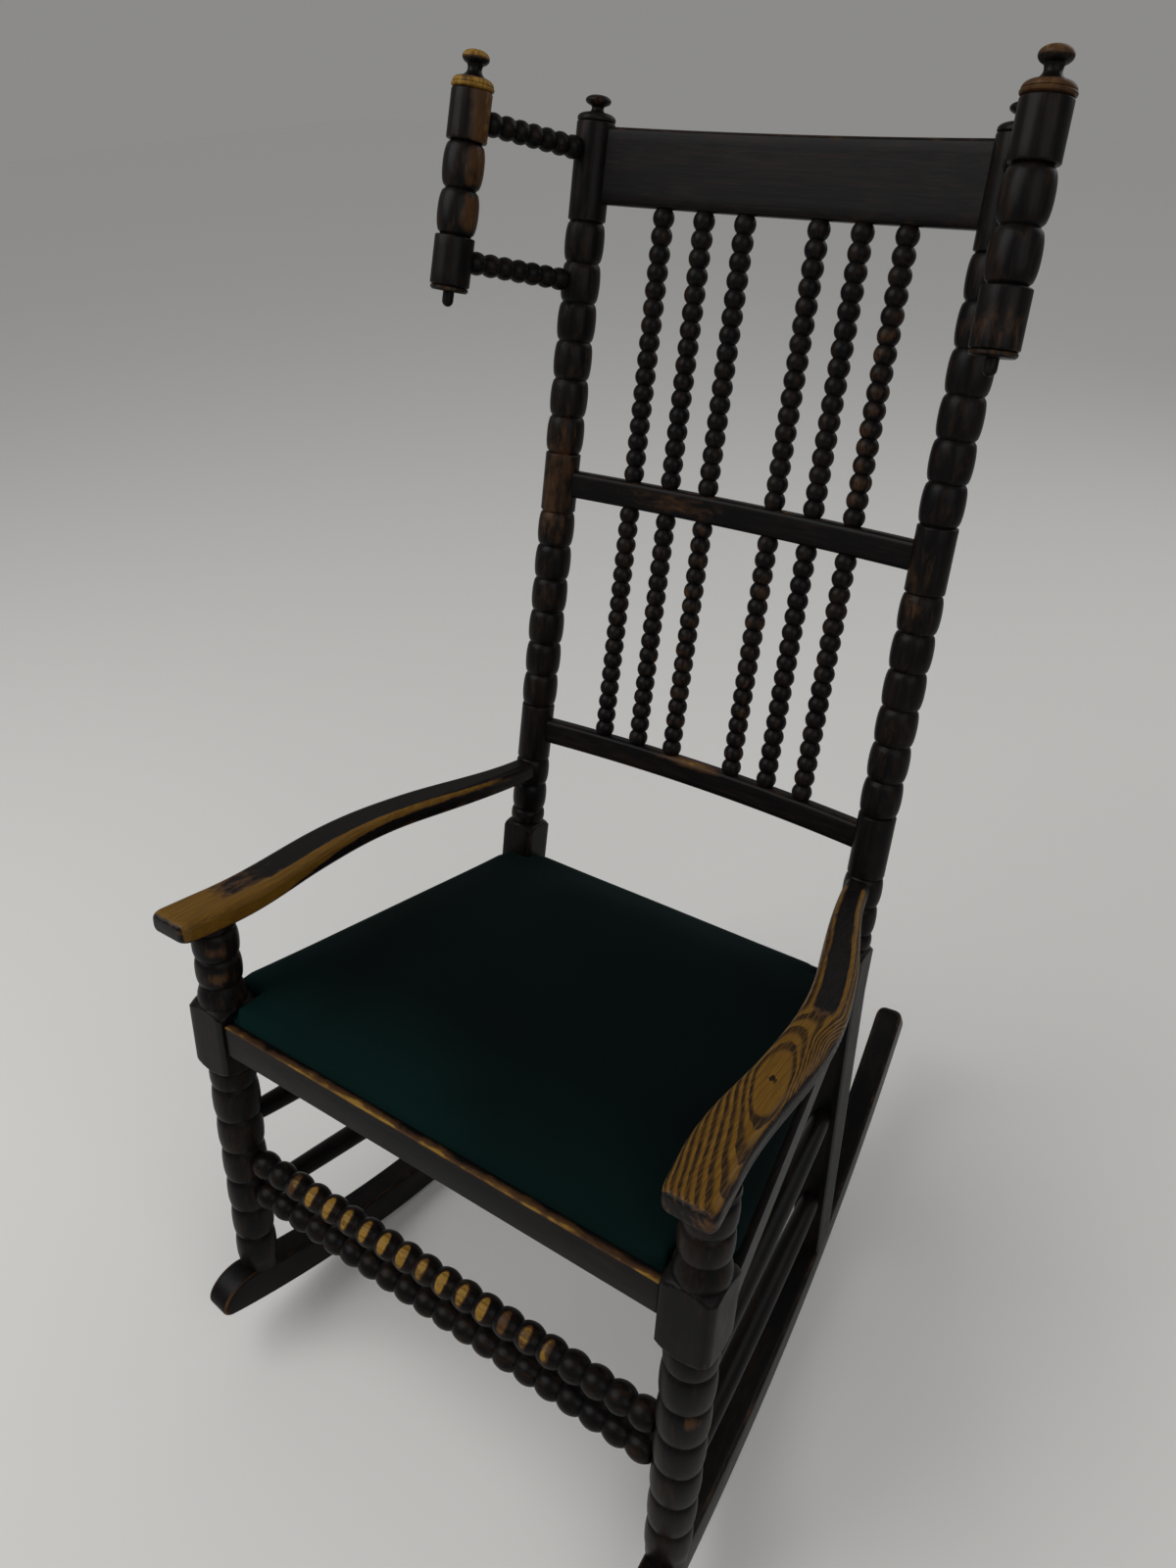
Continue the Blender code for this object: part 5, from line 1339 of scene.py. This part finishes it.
makeSeatRail("front_seat_rail", "front_seat_rail_board", 0, 1)
makeSeatRail("rear_seat_rail", "rear_seat_rail_board", 0, 2)
makeSeatRail("side_seat_rail_left", "side_seat_rail_board_left", 1, 3)
makeSeatRail("side_seat_rail_right", "side_seat_rail_board_right", 1, 4)
print("seat rails made")


# Drop-in seat: a velvet pad stuffed by cloth simulation over its boards, webbing and bottom cloth

cushion = dict(
    near=0.002, spacing=0.0052, fillSpacing=1.15, fillRows=0.866, fillGap=0.62, corner=0.004,
    wrapCorner=0.002, notchCorner=0.003, cornerSteps=4, overhang=0.0050, clear=(0.002, 0.016), roll=0.0085,
    rollRise=0.0055, rollTurns=(-40, 80),
    rows=9, fixedRows=6, crown=0.0190, crownPowers=(2.2, 2.6), pressure=4.0, stretch=12, bend=0.6, frames=20,
    cap=0.0055, calming=40, settling=8, overRail=0.0058, besideLeg=0.0006, wrap=0.0007, wrapGap=0.0002,
    # how far back from the front edge the painted sheen on the velvet fades out
    wrapRise=0.0025, wrapDrop=0.0152, sheenReach=(0.01, 0.11), crease=65,
)


def seatPlan():  # corners of the seat's right half in the square layout, front to rear, read from its boards
    front, right, back, pad = (
        squared(node) for node in ("seat_frame_front", "seat_frame_right", "seat_frame_back", "seat_pad")
    )
    frontX, frontY, notchFront = front[:, 0].max(), front[:, 1].min(), front[:, 1].max()
    notchRear, rearY = right[:, 1].max(), back[:, 1].max()
    sideFront = right[right[:, 1] < notchFront + cushion["near"], 0].max()
    sideRear = right[right[:, 1] > notchRear - cushion["near"], 0].max()
    rearX = pad[pad[:, 1] > notchRear + 3 * cushion["near"], 0].max()
    ahead = [(frontX, frontY), (frontX, notchFront), (sideFront, notchFront)]
    return ahead + [(sideRear, notchRear), (rearX, notchRear), (rearX, rearY)]


def wholePlan(half):
    return half + [(-x, y) for x, y in reversed(half)]


def farFrom(points, path):  # distance of points from a path
    nearest = np.full(len(points), 1.0)
    for start, end in zip(path, path[1:]):
        start, run = np.array(start), np.array(end) - np.array(start)
        share = np.clip(((points - start) @ run) / (run @ run), 0, 1)
        nearest = np.minimum(nearest, np.linalg.norm(points - start - share[:, None] * run, axis=1))
    return nearest


def roundedOutline(plan, corner):  # points round the seat with its corners rounded, and the way in from each
    places, inward = [], []
    count, cornerSteps = len(plan), cushion["cornerSteps"]
    legs = [np.array(plan[(i + 1) % count]) - np.array(plan[i]) for i in range(count)]
    ways = [run / np.linalg.norm(run) for run in legs]
    turns = [math.atan2(a[0] * b[1] - a[1] * b[0], a @ b) for a, b in zip(ways[-1:] + ways[:-1], ways)]
    radii = [corner if turn > 0 else cushion["notchCorner"] for turn in turns]
    cuts = [radius * math.tan(abs(turn) / 2) for radius, turn in zip(radii, turns)]
    for i in range(count):
        arrive, leave = ways[i - 1], ways[i]
        side = np.array((-arrive[1], arrive[0]))
        hand = math.copysign(radii[i], turns[i])
        centre = np.array(plan[i]) - arrive * cuts[i] + side * hand
        for k in range(cornerSteps + 1):
            angle = turns[i] * k / cornerSteps
            turned = math.cos(angle) * side - math.sin(angle) * arrive
            places.append(centre - turned * hand)
            inward.append(turned)
        length = np.linalg.norm(legs[i]) - cuts[i] - cuts[(i + 1) % count]
        steps = max(1, round(length / cushion["spacing"]))
        begin = np.array(plan[i]) + leave * cuts[i]
        for k in range(1, steps):
            places.append(begin + leave * length * k / steps)
            inward.append(np.array((-leave[1], leave[0])))
    return np.array(places), np.array(inward)


def within(points, ring):
    inside = np.zeros(len(points), bool)
    for (x, y), (nextX, nextY) in zip(ring, np.roll(ring, -1, axis=0)):
        if y != nextY:
            crosses = (y > points[:, 1]) != (nextY > points[:, 1])
            inside ^= crosses & (points[:, 0] < x + (points[:, 1] - y) * (nextX - x) / (nextY - y))
    return inside


def fillRing(ring, inner):  # triangles over a ring and the points inside it, as numbers in the two together
    flat = [Vector(point) for point in np.vstack([ring, inner])]
    edges = [(i, (i + 1) % len(ring)) for i in range(len(ring))]
    made = geometry.delaunay_2d_cdt(flat, edges, [], 1, 0.000001)
    return [[made[3][corner][0] for corner in face] for face in made[2]]


def innerPoints(ring):  # a honeycomb of points inside a ring
    step = cushion["spacing"] * cushion["fillSpacing"]
    rowStep = step * cushion["fillRows"]
    low, high = ring.min(axis=0), ring.max(axis=0)
    rows = []
    for row in range(int((high[1] - low[1]) / rowStep) + 1):
        across = np.arange(low[0] + (row % 2) * step / 2, high[0], step)
        rows.append(np.column_stack([across, np.full(len(across), low[1] + row * rowStep)]))
    points = np.vstack(rows)
    points = points[within(points, ring)]
    nearest = np.full(len(points), 1.0)
    for point in ring:
        nearest = np.minimum(nearest, np.linalg.norm(points - point, axis=1))
    return points[nearest > cushion["fillGap"] * step]


def crownAt(points, half):  # how far the stuffing rises to the middle
    frontY, rearY = half[0][1], half[-1][1]
    middle, reach = (frontY + rearY) / 2, (rearY - frontY) / 2
    wide = np.interp(points[:, 1], [half[2][1], half[3][1]], [half[2][0], half[3][0]])
    shares = (points[:, 0] / wide, (points[:, 1] - middle) / reach)
    across, along = (
        1 - np.minimum(np.abs(share), 1.0) ** power for share, power in zip(shares, cushion["crownPowers"])
    )
    return cushion["crown"] * across * along


def padCage(half, outline, inward):  # a rolled edge all round, filled above with the crown and below flat
    low = squared("seat_pad")[:, 2].min()
    folded = np.column_stack([np.abs(outline[:, 0]), outline[:, 1]])
    clear = eased(np.minimum(farFrom(folded, half[:3]), farFrom(folded, half[3:])), *cushion["clear"])
    first, final = cushion["rollTurns"]
    count, rowCount = len(outline), cushion["rows"]
    rows = []
    for k in range(rowCount):
        share = k / (rowCount - 1)
        turn = math.radians(first + (final - first) * share)
        inset = cushion["roll"] * (1 - math.cos(turn)) - cushion["overhang"]
        flat = outline + inward * (inset * (clear if inset < 0 else np.ones(count)))[:, None]
        base = low + cushion["rollRise"] + cushion["roll"] * math.sin(turn)
        rows.append(np.column_stack([flat, base + share * crownAt(flat, half)]))
    rim = rows[-1][:, :2]
    inner = innerPoints(rim)
    top = base + crownAt(inner, half)  # from the last row's level
    faces = [[(rowCount - 1) * count + corner for corner in face] for face in fillRing(rim, inner)]
    faces += [face[::-1] for face in fillRing(rows[0][:, :2], np.empty((0, 2)))]
    faces += stripsOf(rowCount, count)
    points = np.vstack(rows + [np.column_stack([inner, top])])
    return fromPoints("velvet_pad", points.tolist(), faces=faces), low


def calmed(obj, values, fixed, rounds):  # averages with the neighbours, round after round
    edges = np.empty(len(obj.data.edges) * 2, int)
    obj.data.edges.foreach_get("vertices", edges)
    edges = edges.reshape(-1, 2)
    count = np.bincount(edges.ravel(), minlength=len(values))[:, None]
    given = values.copy()
    for _ in range(rounds):
        total = np.zeros_like(values)
        np.add.at(total, edges[:, 0], values[edges[:, 1]])
        np.add.at(total, edges[:, 1], values[edges[:, 0]])
        values = 0.5 * values + 0.5 * total / count
        values[fixed] = given[fixed]
    return values


def stuff(obj, pinned):
    rest = corners(obj)
    held = obj.vertex_groups.new(name="held")
    held.add(list(range(pinned)), 1.0, "REPLACE")
    work = obj.modifiers.new("stuffing", "CLOTH")
    settings = work.settings
    settings.use_pressure = True
    settings.uniform_pressure_force = cushion["pressure"]
    settings.effector_weights.gravity = 0.0
    settings.vertex_group_mass = "held"
    settings.tension_stiffness = cushion["stretch"]
    settings.compression_stiffness = cushion["stretch"]
    settings.bending_stiffness = cushion["bend"]
    for number in range(1, cushion["frames"] + 1):
        bpy.context.scene.frame_set(number)
    puffed = corners(obj.evaluated_get(bpy.context.evaluated_depsgraph_get()))
    obj.modifiers.remove(work)
    obj.vertex_groups.clear()
    bpy.context.scene.frame_set(1)
    step = puffed - rest
    length = np.linalg.norm(step, axis=1)
    print("stuffing moved the velvet", round(float(length.max()) * 1000, 1), "mm at most")
    step *= (np.minimum(length, cushion["cap"]) / np.maximum(length, 1e-9))[:, None]
    step = calmed(obj, step, np.arange(pinned), cushion["calming"])
    obj.data.vertices.foreach_set("co", (rest + step).ravel())


def keepInPlace(points, half, low):  # over the rails a little, but clear of the legs and posts
    over, beside = cushion["overRail"], cushion["besideLeg"]
    (frontX, frontY), (_, notchFront), (sideFront, _), (sideRear, notchRear), (rearX, _), (_, rearY) = half
    edge = np.interp(points[:, 1], [notchFront, notchRear], [sideFront, sideRear]) + over
    edge = np.where(points[:, 1] < notchFront - beside, frontX + beside, edge)
    edge = np.where(points[:, 1] > notchRear + beside, rearX + beside, edge)
    points[:, 0] = np.clip(points[:, 0], -edge, edge)
    outside = np.abs(points[:, 0]) > frontX + beside
    points[:, 1] = np.maximum(points[:, 1], np.where(outside, notchFront - beside, frontY - over))
    outside = np.abs(points[:, 0]) > rearX + beside
    points[:, 1] = np.minimum(points[:, 1], np.where(outside, notchRear + beside, rearY + over))
    points[:, 2] = np.maximum(points[:, 2], low)
    return points


def addWrap(mesh, half, low):  # the velvet carried down over the boards' edges
    outline, inward = roundedOutline(wholePlan(half), cushion["wrapCorner"])
    inner = outline - cushion["wrapGap"] * inward
    outer = outline - (cushion["wrapGap"] + cushion["wrap"]) * inward
    top, bottom = low + cushion["wrapRise"], low - cushion["wrapDrop"]
    shape = bmesh.new()
    shape.from_mesh(mesh)
    verts = []
    for ring, level in ((outer, bottom), (outer, top), (inner, top), (inner, bottom)):
        verts += [shape.verts.new((x, y, level)) for x, y in ring]
    strips = stripsOf(4, len(outline), closed=True)
    made = [shape.faces.new([verts[corner] for corner in face]) for face in strips]
    bmesh.ops.recalc_face_normals(shape, faces=made)
    shape.to_mesh(mesh)
    shape.free()


def paintVelvetSheen(obj, half):  # painted sheen: the velvet is painted lighter towards the front, most of all on the left
    points = corners(obj)
    front = 1 - eased(points[:, 1], *(half[0][1] + reach for reach in cushion["sheenReach"]))
    leftward = 0.55 + 0.45 * eased(-points[:, 0], -0.10, 0.20)
    cloudy = np.array([noise.noise(Vector((x * 9, y * 14, 0.4))) for x, y, _ in points])
    paint(obj.data, "painted_sheen", np.clip(front * leftward * (0.85 + 0.5 * cloudy), 0, 1))


def makePad():
    half = seatPlan()
    outline, inward = roundedOutline(wholePlan(half), cushion["corner"])
    obj, low = padCage(half, outline, inward)
    stuff(obj, len(outline))
    fixed = np.arange(cushion["fixedRows"] * len(outline))
    points = calmed(obj, corners(obj), fixed, cushion["settling"])
    print("pad rises", round(float(points[:, 2].max() - low) * 1000, 1), "mm above its underside")
    obj.data.vertices.foreach_set("co", keepInPlace(points, half, low).ravel())
    addWrap(obj.data, half, low)
    # lays the painted sheen on the velvet
    paintVelvetSheen(obj, half)
    obj.data.transform(leanFrame)
    smooth(obj.data, cushion["crease"])
    placePiece(obj, "seat", "green_velvet", pileGreen, "seat_pad")


makePad()
for place in ("front", "back", "left", "right"):
    board = frame["nodes"][f"seat_frame_{place}"]
    board.data.materials.clear()
    board.data.materials.append(pineSawn)
print("seat pad made")


# Under the pad: jute strips woven over and under, then a black cloth tacked below the boards

under = dict(
    strips=5, stepsPerCell=8, ribbon=0.0006, weave=0.00035, clothSag=0.0012, clothThick=0.0006,
    clothGap=0.0001, clothSteps=36, crease=50, tackSpacing=0.034, tackRadius=0.0034, tackFlat=0.32,
    tackInset=0.985,
)


def planOf(node):  # a trapezium in plan, with its lowest and highest level
    points = squared(node)
    front, rear = points[:, 1].min(), points[:, 1].max()
    frontHalf = points[points[:, 1] < front + cushion["near"], 0].max()
    rearHalf = points[points[:, 1] > rear - cushion["near"], 0].max()
    levels = dict(low=points[:, 2].min(), high=points[:, 2].max())
    return dict(frontHalf=frontHalf, rearHalf=rearHalf, front=front, rear=rear, **levels)


def onPlan(plan, across, along):  # both from -1 to 1
    share = (along + 1) / 2
    half = plan["frontHalf"] + (plan["rearHalf"] - plan["frontHalf"]) * share
    return across * half, plan["front"] + (plan["rear"] - plan["front"]) * share


def thickened(obj, thickness):
    thick = obj.modifiers.new("thickness", "SOLIDIFY")
    thick.thickness = thickness
    thick.offset = 0.0
    obj = plainMesh(obj)
    obj.data.transform(leanFrame)
    smooth(obj.data, under["crease"])
    return obj


def makeWebbing():
    plan = planOf("seat_webbing")
    middle = (plan["low"] + plan["high"]) / 2
    cells = 2 * under["strips"] - 1
    steps = cells * under["stepsPerCell"]
    shape = bmesh.new()
    for strip in range(under["strips"]):
        low, high = (-1 + 2 * (2 * strip + edge) / cells for edge in (0, 1))
        for lengthwise in (True, False):
            edges = []
            for i in range(steps + 1):
                run = -1 + 2 * i / steps
                phase = 0 if lengthwise else math.pi
                wave = math.cos(math.pi * ((run + 1) / 2 * cells - 0.5) / 2 + phase + strip * math.pi)
                level = middle + under["weave"] * wave
                pair = [(low, run), (high, run)] if lengthwise else [(run, low), (run, high)]
                edges.append([shape.verts.new((*onPlan(plan, *at), level)) for at in pair])
            for (a, b), (c, d) in zip(edges, edges[1:]):
                shape.faces.new((a, b, d, c))
    bmesh.ops.recalc_face_normals(shape, faces=shape.faces)
    obj = thickened(fromShape("jute_webbing_strips", shape), under["ribbon"])
    placePiece(obj, "seat", "jute_webbing", juteWeave, "seat_webbing")


def makeBottomCloth(plan):
    steps = under["clothSteps"]
    level = plan["high"] - under["clothThick"] / 2 - under["clothGap"]
    points, faces = [], []
    for row in range(steps + 1):
        for column in range(steps + 1):
            across, along = -1 + 2 * column / steps, -1 + 2 * row / steps
            sag = under["clothSag"] * (1 - across**2) * (1 - along**2)
            points.append((*onPlan(plan, across, along), level - sag))
            if row < steps and column < steps:
                first = row * (steps + 1) + column
                faces.append((first, first + 1, first + steps + 2, first + steps + 1))
    obj = thickened(fromPoints("black_bottom_cloth", points, faces=faces), under["clothThick"])
    placePiece(obj, "seat", "black_cloth", clothWeave, "seat_bottom_cloth")


def tackTree():
    make = CopyTree("tack_row", Spacing="Float", Radius="Float")
    given = make.given
    border = make.add("GeometryNodeMeshToCurve", Mesh=given["Geometry"]).outputs[0]
    row = make.add("GeometryNodeCurveToPoints", mode="LENGTH", Curve=border, Length=given["Spacing"])
    ball = make.add("GeometryNodeMeshUVSphere", Segments=10, Rings=6, Radius=given["Radius"]).outputs["Mesh"]
    head = make.add("GeometryNodeTransform", Geometry=ball, Scale=(1.0, 1.0, under["tackFlat"])).outputs[0]
    return make.close(row.outputs["Points"], head)


def makeTacks(plan):
    inset = under["tackInset"]
    level = plan["high"] - under["clothThick"] - under["clothGap"]
    around = [(-inset, -inset), (inset, -inset), (inset, inset), (-inset, inset)]
    points = [(*onPlan(plan, *at), level) for at in around]
    obj = fromPoints("cloth_tacks", points, edges=[(0, 1), (1, 2), (2, 3), (3, 0)])
    sizes = dict(Spacing=under["tackSpacing"], Radius=under["tackRadius"])
    obj = tackTree().run(obj, Finish=steelTack, **sizes)
    obj.data.transform(leanFrame)
    obj.data.shade_smooth()
    placePiece(obj, "seat", "black_cloth", steelTack)


makeWebbing()
clothPlan = planOf("seat_bottom_cloth")
makeBottomCloth(clothPlan)
makeTacks(clothPlan)
print("seat underside made")


# Floor, light and camera

scene = bpy.context.scene
studio = dict(floor=(0.52, 0.515, 0.50), floorReach=12.0, floorRoughness=0.75, world=0.50)
lamps = dict(  # place, what it faces, size and energy
    key_light=((-1.4, -1.5, 2.7), (0, 0, 0.5), 2.2, 62.0),
    fill_light=((2.0, -1.2, 2.0), (0, 0, 0.5), 2.0, 20.0),
    rear_light=((0.9, 2.4, 2.2), (0, 0, 0.6), 2.0, 16.0),
)
view = dict(
    position=(0.4752, -0.6823, 1.1836), azimuth=35.368, elevation=33.979, roll=-1.860, lens=26.63, film=36.0,
    clip=0.02,
)


def makeFloor():
    reach = studio["floorReach"]
    around = [(-reach, -reach, 0), (reach, -reach, 0), (reach, reach, 0), (-reach, reach, 0)]
    obj = fromPoints("studio_floor", around, faces=[(0, 1, 2, 3)])
    make = Finish("pale_floor")
    obj.data.materials.append(make.done((*studio["floor"], 1.0), studio["floorRoughness"], None, {}))


def addLamp(name, position, target, size, energy):
    lamp = bpy.data.lights.new(name, "AREA")
    lamp.size = size
    lamp.energy = energy
    obj = bpy.data.objects.new(name, lamp)
    obj.location = position
    obj.rotation_euler = (Vector(target) - Vector(position)).to_track_quat("-Z", "Y").to_euler()
    scene.collection.objects.link(obj)


def makeWorld():  # even light, and a backdrop in the floor's colour wherever the world itself is seen
    world = bpy.data.worlds.new("studio_world")
    world.use_nodes = True
    make = Nodes(world.node_tree)
    lit = make.tree.nodes["Background"]
    lit.inputs["Strength"].default_value = studio["world"]
    lit.inputs["Color"].default_value = (1.0, 1.0, 1.0, 1.0)
    rays = make.add("ShaderNodeLightPath").outputs
    seen = make.sum("MAXIMUM", rays["Is Glossy Ray"], rays["Is Transmission Ray"])
    seen = make.sum("MAXIMUM", rays["Is Camera Ray"], seen)
    backdrop = make.add("ShaderNodeBackground", Color=(*studio["floor"], 1.0), Strength=studio["world"])
    chosen = make.add("ShaderNodeMixShader", i0=seen, i1=lit.outputs[0], i2=backdrop.outputs[0])
    make.feed(make.tree.nodes["World Output"].inputs["Surface"], chosen.outputs[0])
    scene.world = world


def makeCamera():
    turn, rise, roll = (math.radians(view[key]) for key in ("azimuth", "elevation", "roll"))
    back = Vector((math.sin(turn) * math.cos(rise), -math.cos(turn) * math.cos(rise), math.sin(rise)))
    right = Vector((0, 0, 1)).cross(back).normalized()
    up = back.cross(right)
    level, tilt = math.cos(roll), math.sin(roll)
    right, up = level * right + tilt * up, level * up - tilt * right
    data = bpy.data.cameras.new("photo_view")
    data.sensor_fit = "VERTICAL"
    data.sensor_height = view["film"]
    data.lens = view["lens"]
    data.clip_start = view["clip"]
    obj = bpy.data.objects.new("photo_view", data)
    matrix = Matrix((right, up, back)).transposed().to_4x4()
    matrix.translation = Vector(view["position"]) + Vector((0, stanceShift, 0))
    obj.matrix_world = matrix
    scene.collection.objects.link(obj)
    scene.camera = obj


makeFloor()
for name, lamp in lamps.items():
    addLamp(name, *lamp)
makeWorld()
scene.view_settings.view_transform = "Standard"
makeCamera()
print("studio set")
